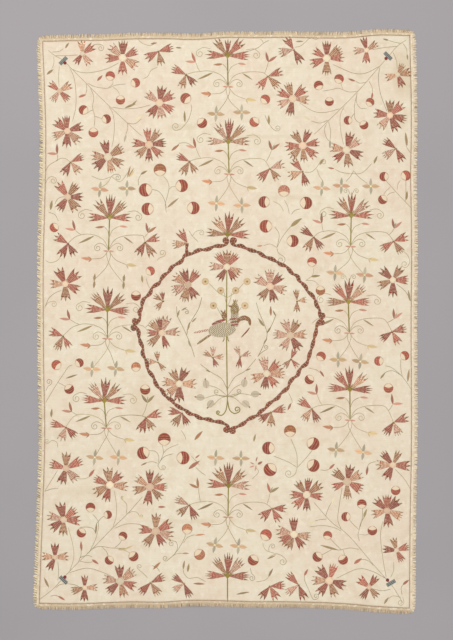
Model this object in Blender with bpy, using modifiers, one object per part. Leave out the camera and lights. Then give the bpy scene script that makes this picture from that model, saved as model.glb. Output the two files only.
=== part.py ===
"""An embroidered bedspread, laid out flat: a linen ground cloth with a tufted fringe sewn along its four sides.

Lengths are in metres. +Y runs from the foot of the spread to its head, +X to the right, +Z up.
The origin is the middle of the whole spread on the surface that it lies on, which is z = 0.
"""

import math
from collections import namedtuple

import bmesh
import bpy

# Driving sizes of the cloth and of its fringe
GROUND_WIDTH = 1.656
GROUND_LENGTH = 2.542
GROUND_THICKNESS = 0.002
HEADING_WIDTH = 0.013
TUFT_LENGTH = 0.017
FRINGE_THICKNESS = 0.003
SEAM_GAP = 0.0004
MITRE_GAP = 0.0003

# The sides sway unevenly, so the cloth is moved by this much to bring the middle of its reach to the origin.
MIDDLE_SHIFT_X = 0.0075
MIDDLE_SHIFT_Y = 0.0041

# The cloth is worked out on a net of cells, and each cell along a side carries two tufts.
CELLS_ACROSS = 28
CELLS_ALONG = 43
TUFTS_PER_CELL = 2

# One tuft, in shares of the pitch from tuft to tuft, and how much its length varies
TUFT_ROOT_SHARE = 0.80
TUFT_TIP_SHARE = 0.62
TUFT_LENGTH_SPREAD = 0.16

# How far the heading has come down to the surface at its outer edge; the tips of the tufts lie on it.
HEADING_SETTLE = 0.6

# At a corner the fringe fans out round the end of the side: over how many tufts, and how strongly.
FAN_REACH = 1.5
FAN_SHARE = 0.8
FAN_CURVE = 1.5

# How far each side lies from its straight line, in millimetres, at even stations along it.
# The short sides run from left to right and count towards the head, the long ones run from head to foot
# and count towards the right.
HEAD_SWAY = (-15, -12, -10, -4, -4, -7, 2, 1, 3, 0, 1, 13, 11)
FOOT_SWAY = (-3, -6, -1, 3, 2, 11, 8, 4, 4, 1, -6, -18, -25)
LEFT_SWAY = (-4, 4, 10, 8, 2, -2, -1, 0, 5, 3, -4, -12, -19)
RIGHT_SWAY = (-6, -1, 1, -2, 2, 2, 0, 1, 2, 0, -4, -6, -7)

# The low ripples in which the cloth stands off the surface. Each is a long soft ridge: where its
# middle is, which way its crest runs (degrees from +X), and how long, wide and high it is.
Ripple = namedtuple("Ripple", "x y turn length width height")
RIPPLES = (
    Ripple(-0.780, -0.770, 3, 0.42, 0.17, 0.0055),
    Ripple(-0.790, -0.455, -4, 0.36, 0.16, 0.0045),
    Ripple(-0.790, 0.020, 2, 0.34, 0.17, 0.0040),
    Ripple(-0.780, 0.790, -3, 0.44, 0.18, 0.0045),
    Ripple(0.790, 1.000, -22, 0.40, 0.18, 0.0060),
    Ripple(0.800, 0.300, 4, 0.34, 0.17, 0.0040),
    Ripple(0.780, -0.640, -6, 0.44, 0.18, 0.0045),
    Ripple(0.640, 1.240, 98, 0.52, 0.20, 0.0065),
    Ripple(0.170, 1.270, 86, 0.40, 0.18, 0.0040),
    Ripple(-0.250, 1.260, 94, 0.44, 0.19, 0.0050),
    Ripple(-0.130, -1.260, 84, 0.52, 0.19, 0.0065),
    Ripple(0.310, -1.270, 92, 0.42, 0.18, 0.0045),
    Ripple(0.620, -1.220, 104, 0.60, 0.22, 0.0060),
    Ripple(-0.560, -1.270, 90, 0.38, 0.18, 0.0040),
    Ripple(-0.480, 0.330, 82, 0.95, 0.34, 0.0035),
    Ripple(0.500, -0.300, 97, 1.05, 0.36, 0.0035),
    Ripple(-0.330, -0.860, 12, 0.80, 0.28, 0.0030),
    Ripple(0.060, 0.660, 1, 1.30, 0.20, 0.0025),
)

# The four sides: whether a side runs across the cloth, where it is the other way, and which way is out.
Side = namedtuple("Side", "runs_across at outward")
SIDES = {
    "fringe_head": Side(True, 1.0, 1),
    "fringe_foot": Side(True, 0.0, -1),
    "fringe_left": Side(False, 0.0, -1),
    "fringe_right": Side(False, 1.0, 1),
}


def between(low, high, share):
    """The value that is this share of the way from low to high."""
    return low + (high - low) * share


def sway(stations, share):
    """A side's distance from its straight line, in metres, on a smooth curve through its stations."""
    place = share * (len(stations) - 1)
    first = min(int(place), len(stations) - 2)
    start = stations[first]
    end = stations[first + 1]
    slope_start = (end - stations[max(first - 1, 0)]) / 2
    slope_end = (stations[min(first + 2, len(stations) - 1)] - start) / 2
    t = place - first
    rise = end - start
    square_term = 3 * rise - 2 * slope_start - slope_end
    cube_term = slope_start + slope_end - 2 * rise
    return 0.001 * (start + t * (slope_start + t * (square_term + t * cube_term)))


def lift(x, y):
    """How far the underside stands off the surface at a place."""
    height = 0.0
    for ripple in RIPPLES:
        turn = math.radians(ripple.turn)
        dx = x - ripple.x
        dy = y - ripple.y
        along = (dx * math.cos(turn) + dy * math.sin(turn)) / (ripple.length / 2)
        across = (dy * math.cos(turn) - dx * math.sin(turn)) / (ripple.width / 2)
        if abs(along) < 1 and abs(across) < 1:
            height += ripple.height * (math.cos(along * math.pi / 2) * math.cos(across * math.pi / 2)) ** 2
    return height


def laid(across, along):
    """Where the cloth's underside lies: across and along run from 0 to 1, from the left corner of the foot."""
    x = (across - 0.5) * GROUND_WIDTH + MIDDLE_SHIFT_X
    x += between(sway(LEFT_SWAY, 1 - along), sway(RIGHT_SWAY, 1 - along), across)
    y = (along - 0.5) * GROUND_LENGTH + MIDDLE_SHIFT_Y
    y += between(sway(FOOT_SWAY, across), sway(HEAD_SWAY, across), along)
    return x, y, lift(x, y)


def tuft_count(side):
    """How many tufts a side carries."""
    return TUFTS_PER_CELL * (CELLS_ACROSS if side.runs_across else CELLS_ALONG)


def edge_point(side, place):
    """A point on the cloth's own edge, with place counted in tufts along the side."""
    cells = tuft_count(side) // TUFTS_PER_CELL
    cell_place = place / TUFTS_PER_CELL
    first = min(int(cell_place), cells - 1)
    ends = []
    for share in (first / cells, (first + 1) / cells):
        ends.append(laid(share, side.at) if side.runs_across else laid(side.at, share))
    return [between(low, high, cell_place - first) for low, high in zip(*ends)]


def fringe_point(side, place, out, settle):
    """A point of the fringe: place in tufts along the side, out in metres from the cloth's edge.

    Settle is 0 where it is as high as that edge and 1 where it lies on the surface.
    """
    x, y, z = edge_point(side, place)
    from_end = min(place, tuft_count(side) - place)
    in_strip = out > SEAM_GAP
    fan = max(0.0, 1 - from_end / FAN_REACH) ** FAN_CURVE if in_strip else 0.0
    mitre = MITRE_GAP if in_strip and from_end == 0 else 0.0
    sideways = (FAN_SHARE * fan * out - mitre) * (-1 if place < tuft_count(side) / 2 else 1)
    outwards = side.outward * out * (1 - (1 - FAN_SHARE) * fan)
    if side.runs_across:
        return x + sideways, y + outwards, z * (1 - settle)
    return x + outwards, y + sideways, z * (1 - settle)


def unevenness(number):
    """A steady value from -1 to 1 that differs from tuft to tuft."""
    return math.sin(number * 12.9898 + 4.1) * math.cos(number * 3.717)


def cloth_material(name, colour, roughness):
    """A matt cloth finish."""
    material = bpy.data.materials.new(name)
    material.use_nodes = True
    shader = material.node_tree.nodes["Principled BSDF"]
    shader.inputs["Base Color"].default_value = (*colour, 1.0)
    shader.inputs["Roughness"].default_value = roughness
    shader.inputs["Metallic"].default_value = 0.0
    material.diffuse_color = (*colour, 1.0)
    return material


def new_net(name, cells_x, cells_y, collection, material):
    """A flat net of this many cells, from -0.5 to 0.5 both ways, as an object of the collection."""
    bpy.ops.mesh.primitive_grid_add(x_subdivisions=cells_x, y_subdivisions=cells_y, size=1.0)
    net = bpy.context.object
    net.name = name
    net.data.name = name
    net.data.materials.append(material)
    for home in list(net.users_collection):
        home.objects.unlink(net)
    collection.objects.link(net)
    return net


def thicken(sheet, thickness):
    """Gives an open sheet its thickness, upwards from the underside that was modelled."""
    solidify = sheet.modifiers.new("Thickness", "SOLIDIFY")
    solidify.thickness = thickness
    solidify.offset = 1.0
    solidify.use_even_offset = True


def make_ground(collection, material):
    """The linen ground: one cut of cloth, laid in its low ripples."""
    ground = new_net("ground_cloth", CELLS_ACROSS, CELLS_ALONG, collection, material)
    for vertex in ground.data.vertices:
        across = round((vertex.co.x + 0.5) * CELLS_ACROSS) / CELLS_ACROSS
        along = round((vertex.co.y + 0.5) * CELLS_ALONG) / CELLS_ALONG
        vertex.co = laid(across, along)
    thicken(ground, GROUND_THICKNESS)
    ground.data.shade_smooth()


def lay_heading(strip, side, columns):
    """Lays the strip's two rows along the cloth's edge, and returns its outer row from end to end."""
    outer = [None] * len(columns)
    for vertex in strip.verts:
        column = round((vertex.co.x + 0.5) * (len(columns) - 1))
        if vertex.co.y > 0:
            vertex.co = fringe_point(side, columns[column], HEADING_WIDTH, HEADING_SETTLE)
            outer[column] = vertex
        else:
            vertex.co = fringe_point(side, columns[column], SEAM_GAP, 0.0)
    return outer


def grow_tuft(strip, side, tuft, low, high):
    """Draws one tuft out of the heading's outer edge, between the vertices low and high."""
    root = low.co.copy()
    grown = bmesh.ops.extrude_edge_only(strip, edges=[strip.edges.get((low, high))])
    tips = [item for item in grown["geom"] if isinstance(item, bmesh.types.BMVert)]
    tips.sort(key=lambda vertex: (vertex.co - root).length)
    length = TUFT_LENGTH * (1 + TUFT_LENGTH_SPREAD * unevenness(tuft + side.at + 2 * side.runs_across))
    margin = (1 - TUFT_TIP_SHARE) / 2
    for vertex, share in zip(tips, (margin, 1 - margin)):
        vertex.co = fringe_point(side, tuft + share, HEADING_WIDTH + length, 1.0)


def make_fringe(name, side, collection, material):
    """One side's fringe: a woven heading strip with a row of cut tufts, worked in one piece."""
    margin = (1 - TUFT_ROOT_SHARE) / 2
    # The strip's columns are its own two ends and, between them, the two edges of each tuft.
    columns = [0.0]
    for tuft in range(tuft_count(side)):
        columns += [tuft + margin, tuft + 1 - margin]
    columns.append(float(tuft_count(side)))

    fringe = new_net(name, len(columns) - 1, 1, collection, material)
    strip = bmesh.new()
    strip.from_mesh(fringe.data)
    outer = lay_heading(strip, side, columns)
    for tuft in range(tuft_count(side)):
        grow_tuft(strip, side, tuft, outer[2 * tuft + 1], outer[2 * tuft + 2])
    bmesh.ops.recalc_face_normals(strip, faces=strip.faces)
    if next(iter(strip.faces)).normal.z < 0:
        bmesh.ops.reverse_faces(strip, faces=strip.faces)
    strip.to_mesh(fringe.data)
    strip.free()
    thicken(fringe, FRINGE_THICKNESS)


def main():
    """Clears the scene and builds the bedspread."""
    for leftover in list(bpy.data.objects):
        bpy.data.objects.remove(leftover)
    spread = bpy.data.collections.new("Embroidered bedspread")
    bpy.context.scene.collection.children.link(spread)
    linen = cloth_material("Linen", (0.80, 0.68, 0.50), 0.85)
    silk = cloth_material("Silk fringe", (0.76, 0.64, 0.42), 0.70)
    make_ground(spread, linen)
    for name, side in SIDES.items():
        make_fringe(name, side, spread, silk)


main()
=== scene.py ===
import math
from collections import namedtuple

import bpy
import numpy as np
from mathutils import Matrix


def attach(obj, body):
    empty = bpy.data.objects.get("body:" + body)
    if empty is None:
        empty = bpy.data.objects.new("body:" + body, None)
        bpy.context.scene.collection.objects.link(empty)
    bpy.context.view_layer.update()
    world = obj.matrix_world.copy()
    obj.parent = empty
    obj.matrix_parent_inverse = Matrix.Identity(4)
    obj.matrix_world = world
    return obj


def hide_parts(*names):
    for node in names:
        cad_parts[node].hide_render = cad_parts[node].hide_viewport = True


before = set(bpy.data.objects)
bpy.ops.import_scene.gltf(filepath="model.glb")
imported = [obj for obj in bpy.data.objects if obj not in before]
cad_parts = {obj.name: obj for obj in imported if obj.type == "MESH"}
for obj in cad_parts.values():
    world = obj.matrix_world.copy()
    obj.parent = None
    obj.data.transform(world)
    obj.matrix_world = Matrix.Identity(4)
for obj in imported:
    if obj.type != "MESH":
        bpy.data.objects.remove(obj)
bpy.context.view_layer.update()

# Looks of an embroidered bedspread: linen ground, stitched seam, tufted fringe and silk embroidery.
# All is in metres in the model's frame: +X right, +Y towards the head, +Z up, with the surface that the
# bedspread lies on at z = 0. The places of the embroidery were read off the photograph and stand in
# its pixels, as px and py, or in the units of enlarged parts of it. Sizes are real ones.

bpy.ops.object.select_all(action="DESELECT")

# Ground cloth: one cut of cream linen in plain weave, laid on the surface with its four sides a little
# uneven. It stands off the surface in low ripples, and keeps the creases of its long time folded away.
GROUND_WIDTH = 1.656
GROUND_LENGTH = 2.542
GROUND_THICKNESS = 0.002
MIDDLE_SHIFT = (0.0075, 0.0041)
FRINGE_REACH = 0.030

# The sides' distance from straight lines, in millimetres at even stations, as in the solid model
HEAD_SWAY = (-15, -12, -10, -4, -4, -7, 2, 1, 3, 0, 1, 13, 11)
FOOT_SWAY = (-3, -6, -1, 3, 2, 11, 8, 4, 4, 1, -6, -18, -25)
LEFT_SWAY = (-4, 4, 10, 8, 2, -2, -1, 0, 5, 3, -4, -12, -19)
RIGHT_SWAY = (-6, -1, 1, -2, 2, 2, 0, 1, 2, 0, -4, -6, -7)

Ripple = namedtuple("Ripple", "x y turn length width height")
RIPPLES = [Ripple(*row) for row in (
    (-0.780, -0.770, 3, 0.42, 0.17, 0.0055), (-0.790, -0.455, -4, 0.36, 0.16, 0.0045),
    (-0.790, 0.020, 2, 0.34, 0.17, 0.0040), (-0.780, 0.790, -3, 0.44, 0.18, 0.0045),
    (0.790, 1.000, -22, 0.40, 0.18, 0.0060), (0.800, 0.300, 4, 0.34, 0.17, 0.0040),
    (0.780, -0.640, -6, 0.44, 0.18, 0.0045), (0.640, 1.240, 98, 0.52, 0.20, 0.0065),
    (0.170, 1.270, 86, 0.40, 0.18, 0.0040), (-0.250, 1.260, 94, 0.44, 0.19, 0.0050),
    (-0.130, -1.260, 84, 0.52, 0.19, 0.0065), (0.310, -1.270, 92, 0.42, 0.18, 0.0045),
    (0.620, -1.220, 104, 0.60, 0.22, 0.0060), (-0.560, -1.270, 90, 0.38, 0.18, 0.0040),
    (-0.480, 0.330, 82, 0.95, 0.34, 0.0035), (0.500, -0.300, 97, 1.05, 0.36, 0.0035),
    (-0.330, -0.860, 12, 0.80, 0.28, 0.0030), (0.060, 0.660, 1, 1.30, 0.20, 0.0025),
)]

# Creases: narrow soft ridges, or troughs where the height is below zero, in the top of the cloth
CREASES = [Ripple(*row) for row in (
    (-0.370, 0.666, 1, 0.62, 0.040, 0.0012), (0.450, 0.668, -1, 0.56, 0.036, 0.0011),
    (0.200, 0.842, 2, 0.34, 0.034, 0.0009), (-0.210, -0.900, 3, 0.50, 0.036, 0.0010),
    (0.260, -0.905, -2, 0.48, 0.036, 0.0009), (-0.720, -0.770, 4, 0.26, 0.034, 0.0016),
    (-0.700, -0.725, 1, 0.20, 0.030, -0.0008), (-0.745, -0.500, -5, 0.22, 0.034, 0.0012),
    (-0.740, -0.428, 3, 0.24, 0.034, 0.0012), (-0.750, 0.038, 2, 0.22, 0.034, 0.0012),
    (-0.740, 0.775, -6, 0.26, 0.036, 0.0011), (-0.700, 1.170, 8, 0.22, 0.034, 0.0010),
    (0.795, 1.002, -18, 0.22, 0.036, 0.0015), (0.770, 0.620, 6, 0.20, 0.034, 0.0010),
    (0.760, -0.300, -4, 0.22, 0.034, 0.0010), (0.770, -0.860, 5, 0.24, 0.034, 0.0011),
    (0.000, 0.060, 90, 2.20, 0.060, 0.0007), (0.410, -0.020, 89, 1.60, 0.050, 0.0006),
    (-0.400, -0.050, 91, 1.70, 0.050, 0.0006),
)]
GROUND_CELL = 0.010


def sway(stations, share):
    """A side's distance from its straight line, on a smooth curve through its stations."""
    heights = np.array(stations, float)
    slopes = np.gradient(heights)
    slopes[0] /= 2
    slopes[-1] /= 2
    place = np.clip(share, 0, 1) * (len(heights) - 1)
    first = np.minimum(place.astype(int), len(heights) - 2)
    t = place - first
    rise = heights[first + 1] - heights[first]
    square_term = 3 * rise - 2 * slopes[first] - slopes[first + 1]
    cube_term = slopes[first] + slopes[first + 1] - 2 * rise
    return 0.001 * (heights[first] + t * (slopes[first] + t * (square_term + t * cube_term)))


def laid(across, along):
    """Where a point of the cloth lies: across and along run from 0 to 1, from the left corner of the foot."""
    left, right = sway(LEFT_SWAY, 1 - along), sway(RIGHT_SWAY, 1 - along)
    foot, head = sway(FOOT_SWAY, across), sway(HEAD_SWAY, across)
    x = (across - 0.5) * GROUND_WIDTH + MIDDLE_SHIFT[0] + left + (right - left) * across
    y = (along - 0.5) * GROUND_LENGTH + MIDDLE_SHIFT[1] + foot + (head - foot) * along
    return x, y


def ridges(table, x, y):
    """The summed height of long soft ridges at a place."""
    height = np.zeros(np.shape(x))
    for ridge in table:
        turn = math.radians(ridge.turn)
        dx, dy = x - ridge.x, y - ridge.y
        along = np.clip((dx * math.cos(turn) + dy * math.sin(turn)) / (ridge.length / 2), -1, 1)
        across = np.clip((dy * math.cos(turn) - dx * math.sin(turn)) / (ridge.width / 2), -1, 1)
        height += ridge.height * (np.cos(along * math.pi / 2) * np.cos(across * math.pi / 2)) ** 2
    return height


def underside(x, y):
    """How far the cloth, or beyond its edge the fringe, stands off the surface."""
    beyond_x = np.abs(x - MIDDLE_SHIFT[0]) - GROUND_WIDTH / 2
    beyond_y = np.abs(y - MIDDLE_SHIFT[1]) - GROUND_LENGTH / 2
    settle = np.clip(1 - np.maximum(np.maximum(beyond_x, beyond_y), 0) / FRINGE_REACH, 0, 1)
    return ridges(RIPPLES, x, y) * settle


def cloth_top(x, y):
    """The height of the cloth's upper face."""
    return underside(x, y) + GROUND_THICKNESS + ridges(CREASES, x, y)


def select_only(piece):
    """Makes one piece the selected and active one."""
    bpy.ops.object.select_all(action="DESELECT")
    piece.select_set(True)
    bpy.context.view_layer.objects.active = piece


def grid_sheet(name, cells_x, cells_y, law):
    """A grid primitive whose points are moved by the law, from its own -1..1 both ways."""
    bpy.ops.object.select_all(action="DESELECT")
    bpy.ops.mesh.primitive_grid_add(x_subdivisions=cells_x, y_subdivisions=cells_y, size=2)
    sheet = bpy.context.object
    sheet.name = sheet.data.name = name
    points = np.empty(len(sheet.data.vertices) * 3, np.float32)
    sheet.data.vertices.foreach_get("co", points)
    points = points.reshape(-1, 3)
    sheet.data.attributes.new("share", "FLOAT_VECTOR", "POINT").data.foreach_set("vector", points.ravel())
    moved = np.stack(law(points[:, 0].astype(float), points[:, 1].astype(float)), axis=1)
    sheet.data.vertices.foreach_set("co", moved.astype(np.float32).ravel())
    sheet.data.update()
    return sheet


def thicken(sheet, thickness):
    """Gives a sheet its thickness, downwards."""
    solidify = sheet.modifiers.new("Thickness", "SOLIDIFY")
    solidify.thickness = thickness
    solidify.offset = -1
    select_only(sheet)
    bpy.ops.object.modifier_apply(modifier=solidify.name)


def srgb(*channels):
    """A colour as it looks on a screen, 0 to 255 a channel, in the linear values that shaders take."""
    shares = [channel / 255 for channel in channels]
    return tuple(share / 12.92 if share <= 0.04045 else ((share + 0.055) / 1.055) ** 2.4 for share in shares)


class Value:
    """What a node gives out. Python's operators on it add Math nodes."""

    def __init__(self, finish, socket):
        self.finish = finish
        self.socket = socket

    def math(self, operation, *values):
        sockets = dict(enumerate(values))
        return self.finish.node("ShaderNodeMath", {"operation": operation}, sockets)

    def __add__(self, other):
        return self.math("ADD", self, other)

    def __sub__(self, other):
        return self.math("SUBTRACT", self, other)

    def __rsub__(self, other):
        return self.math("SUBTRACT", other, self)

    def __mul__(self, other):
        return self.math("MULTIPLY", self, other)

    def __pow__(self, other):
        return self.math("POWER", self, other)

    __radd__ = __add__
    __rmul__ = __mul__

    def sine(self):
        return self.math("SINE", self)

    def clamped(self):
        return self.finish.node("ShaderNodeClamp", {}, {"Value": self})


class Finish:
    """A material in the making: its nodes, its colour so far, and the Principled shader that they feed.

    The colour starts as the base or, where there is none, as the dye of the piece's points.
    """

    def __init__(self, name, roughness, sheen=0.0, base=None):
        self.material = bpy.data.materials.new(name)
        self.material.use_nodes = True
        self.tree = self.material.node_tree
        self.shader = self.tree.nodes["Principled BSDF"]
        self.shader.inputs["Roughness"].default_value = roughness
        self.shader.inputs["Sheen Weight"].default_value = sheen
        self.shader.inputs["Specular IOR Level"].default_value = 0.25
        self.colour = base or self.attribute("dye", "Color")

    def node(self, kind, settings, sockets, output=0):
        """Adds a node, sets its settings first and then its sockets, and gives its output."""
        made = self.tree.nodes.new(kind)
        for setting, value in settings.items():
            setattr(made, setting, value)
        for socket, value in sockets.items():
            self.feed(made.inputs[socket], value)
        return Value(self, made.outputs[output])

    def feed(self, socket, value):
        if isinstance(value, Value):
            self.tree.links.new(value.socket, socket)
        elif isinstance(value, tuple) and len(value) == 3 and socket.type == "RGBA":
            socket.default_value = (*value, 1.0)
        else:
            socket.default_value = value

    def place(self):
        """The place on the piece, in metres."""
        return self.node("ShaderNodeTexCoord", {}, {}, "Object")

    def axes(self, vector):
        """The three parts of a vector."""
        split = self.node("ShaderNodeSeparateXYZ", {}, {0: vector}).socket.node
        return [Value(self, socket) for socket in split.outputs]

    def stretched(self, vector, scale):
        """A vector with its parts scaled."""
        return self.node("ShaderNodeVectorMath", {"operation": "MULTIPLY"}, {0: vector, 1: scale})

    def noise(self, vector, scale, detail=2.0):
        """Soft noise from 0 to 1, with this many features a metre."""
        return self.node("ShaderNodeTexNoise", {}, {"Vector": vector, "Scale": scale, "Detail": detail})

    def range(self, value, low, high, start=0.0, end=1.0):
        """The value's share of the way from low to high, kept between start and end."""
        limits = {"Value": value, "From Min": low, "From Max": high, "To Min": start, "To Max": end}
        return self.node("ShaderNodeMapRange", {"interpolation_type": "SMOOTHSTEP"}, limits)

    def waves(self, value, pitch, sway=0.0):
        """Waves from -1 to 1 with this pitch, shifted by the sway."""
        return (value * (2 * math.pi / pitch) + sway).sine()

    def mix(self, share, under, over):
        """One colour over another."""
        return self.node("ShaderNodeMix", {"data_type": "RGBA"}, {0: share, 6: under, 7: over}, 2)

    def cover(self, share, over):
        """Lays a colour over the colour so far."""
        self.colour = self.mix(share, self.colour, over)

    def attribute(self, name, output):
        """A colour or vector stored on the piece's points."""
        return self.node("ShaderNodeAttribute", {"attribute_name": name}, {}, output)

    def threads(self):
        """A point's place among the threads of its shape: across, along or up, and a length."""
        return self.axes(self.attribute("thread", "Vector"))

    def finished(self, height, depth, strength):
        """Feeds the colour, and the height of the relief in metres, and gives the material."""
        self.feed(self.shader.inputs["Base Color"], self.colour)
        bump = self.node("ShaderNodeBump", {}, {"Height": height, "Distance": depth, "Strength": strength})
        self.feed(self.shader.inputs["Normal"], bump)
        return self.material


LINEN_CREAM = srgb(232, 221, 198)
LINEN_WARM = srgb(231, 213, 191)
LINEN_COOL = srgb(225, 214, 189)
LINEN_AGED = srgb(208, 186, 150)
LINEN_SHADE = srgb(212, 188, 156)
LINEN_BLEACHED = srgb(244, 236, 216)
LINEN_THREAD_PITCH = 0.0016

# Stains: darker patches, where they are and how far they reach
Stain = namedtuple("Stain", "x y reach_x reach_y strength")
STAINS = [Stain(*row) for row in (
    (-0.380, -0.370, 0.075, 0.130, 0.30), (-0.205, 0.872, 0.090, 0.020, 0.35),
    (0.795, 1.110, 0.060, 0.140, 0.45), (-0.640, -0.765, 0.150, 0.030, 0.28),
    (0.790, 0.905, 0.050, 0.040, 0.30), (0.300, 0.560, 0.180, 0.015, 0.18),
    (-0.560, 0.770, 0.180, 0.012, 0.22), (0.150, 0.830, 0.200, 0.012, 0.20),
    (-0.150, -0.900, 0.300, 0.014, 0.22),
)]


def linen_finish():
    """Plain weave with slubs, in cream that has aged in patches, worn and bleached in places, and stained."""
    finish = Finish("aged cream linen", 0.88, 0.15, LINEN_CREAM)
    place = finish.place()
    x, y, _ = finish.axes(place)
    patches = finish.noise(place, 2.6, 3.0)
    blotches = finish.noise(place, 11.0, 4.0)
    fine = finish.noise(place, 55.0, 3.0)
    worn = finish.noise(place, 23.0, 4.0)
    bleached = finish.noise(finish.stretched(place, (31.0, 24.0, 1.0)), 1.3, 3.0)
    slubs = finish.noise(finish.stretched(place, (9.0, 260.0, 1.0)), 1.0, 2.0)
    weave = finish.waves(x, LINEN_THREAD_PITCH) * finish.waves(y, LINEN_THREAD_PITCH)
    finish.cover(finish.range(patches, 0.35, 0.65), LINEN_WARM)
    finish.cover(finish.range(blotches, 0.45, 0.75, 0.0, 0.60), LINEN_COOL)
    finish.cover(finish.range(fine, 0.50, 0.75, 0.0, 0.22), LINEN_AGED)
    finish.cover(finish.range(worn, 0.46, 0.70, 0.0, 0.30), LINEN_SHADE)
    finish.cover(finish.range(bleached, 0.52, 0.72, 0.0, 0.40), LINEN_BLEACHED)
    finish.cover(finish.range(slubs, 0.52, 0.80, 0.0, 0.30), LINEN_AGED)
    finish.cover(finish.range(weave, -0.2, 1.0, 0.0, 0.16), LINEN_AGED)
    edge_noise = finish.noise(place, 26.0, 3.0)
    for stain in STAINS:
        dx = (x - stain.x) * (1 / stain.reach_x)
        dy = (y - stain.y) * (1 / stain.reach_y)
        nearness = 1 - (dx * dx + dy * dy) * (0.5 + edge_noise)
        finish.cover(finish.range(nearness, 0.0, 0.9, 0.0, stain.strength), LINEN_AGED)
    return finish.finished(weave * 0.7 + slubs * 0.8 + blotches * 0.6, 0.0004, 0.6)


def lay_ground(u, v):
    """The law of the ground cloth's upper face."""
    x, y = laid((u + 1) / 2, (v + 1) / 2)
    return x, y, cloth_top(x, y)


cells_across, cells_along = round(GROUND_WIDTH / GROUND_CELL), round(GROUND_LENGTH / GROUND_CELL)
ground = grid_sheet("linen_ground", cells_across, cells_along, lay_ground)
thicken(ground, GROUND_THICKNESS)
for vertex in ground.data.vertices:
    vertex.co.z = max(vertex.co.z, 0.0)
ground.data.shade_smooth()
ground.data.materials.append(linen_finish())
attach(ground, "root")
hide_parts("ground_cloth")

# Border line: a couched row of tan-brown silk in short slanting stitches, worked round all four sides where
# the ground meets the fringe. It holds down the linen's turned edge.
SEAM_INSET = 0.0025
SEAM_PITCH = 0.0068
SEAM_STITCH = 0.0100
SEAM_WIDTH = 0.0019
SEAM_START, SEAM_END = 0.003, 0.006
SEAM_SLANT = 9
SEAM_TAN_SHARE = 0.7
SEAM_TAN = srgb(188, 148, 104)
SEAM_ROSE = srgb(192, 138, 114)
PLY_SHADE = srgb(88, 62, 40)
CORD_PLY_PITCH = 0.0022
SMOOTH_ANGLE = 55


def way_along(x, y):
    """The way that a path runs at each of its points."""
    slope_x, slope_y = np.gradient(x), np.gradient(y)
    reach = np.hypot(slope_x, slope_y)
    return slope_x / reach, slope_y / reach


def length_along(x, y):
    """How long a path is up to each of its points."""
    return np.concatenate(([0.0], np.cumsum(np.hypot(np.diff(x), np.diff(y)))))


def side_edge(side, share):
    """The ground's edge and the way that it runs, for each share of the way along one side."""
    nought, one = np.zeros_like(share), np.ones_like(share)
    ways = {
        "head": (share, one),
        "foot": (1 - share, nought),
        "left": (nought, share),
        "right": (one, 1 - share),
    }
    x, y = laid(*ways[side])
    return x, y, *way_along(x, y)


# Round the cloth clockwise, the outside lies to the left of the way along each side
SIDES = ("head", "right", "foot", "left")
Shape = namedtuple("Shape", "points faces share")


def pick_up(sheet, thickness):
    """Gives a modelled sheet a closed body, and takes its points and faces for laying copies of it."""
    thicken(sheet, thickness)
    mesh = sheet.data
    points = np.array([tuple(vertex.co) for vertex in mesh.vertices])
    share = np.array([tuple(value.vector) for value in mesh.attributes["share"].data])
    faces = [tuple(face.vertices) for face in mesh.polygons]
    bpy.data.objects.remove(sheet)
    bpy.data.meshes.remove(mesh)
    return Shape(points, faces, share)


# A cord's section: places across it and up from its path
CORD_SECTION = ((-1.0, -0.35), (-0.75, 0.55), (0.0, 1.0), (0.75, 0.55), (1.0, -0.35))


def in_rings(lines):
    """The points of lines that run side by side, each as its x, y and z, one ring of them after another."""
    return np.stack([np.stack(line, axis=1) for line in lines], axis=1).reshape(-1, 3)


def tube_faces(steps, around):
    """The faces of a closed tube of that many rings, with that many points in a ring."""
    faces = []
    for first in range(0, (steps - 1) * around, around):
        for here in range(around):
            beside = (here + 1) % around
            faces.append((first + here, first + beside, first + around + beside, first + around + here))
    faces.append(tuple(reversed(range(around))))
    faces.append(tuple(range((steps - 1) * around, steps * around)))
    return faces


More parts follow.
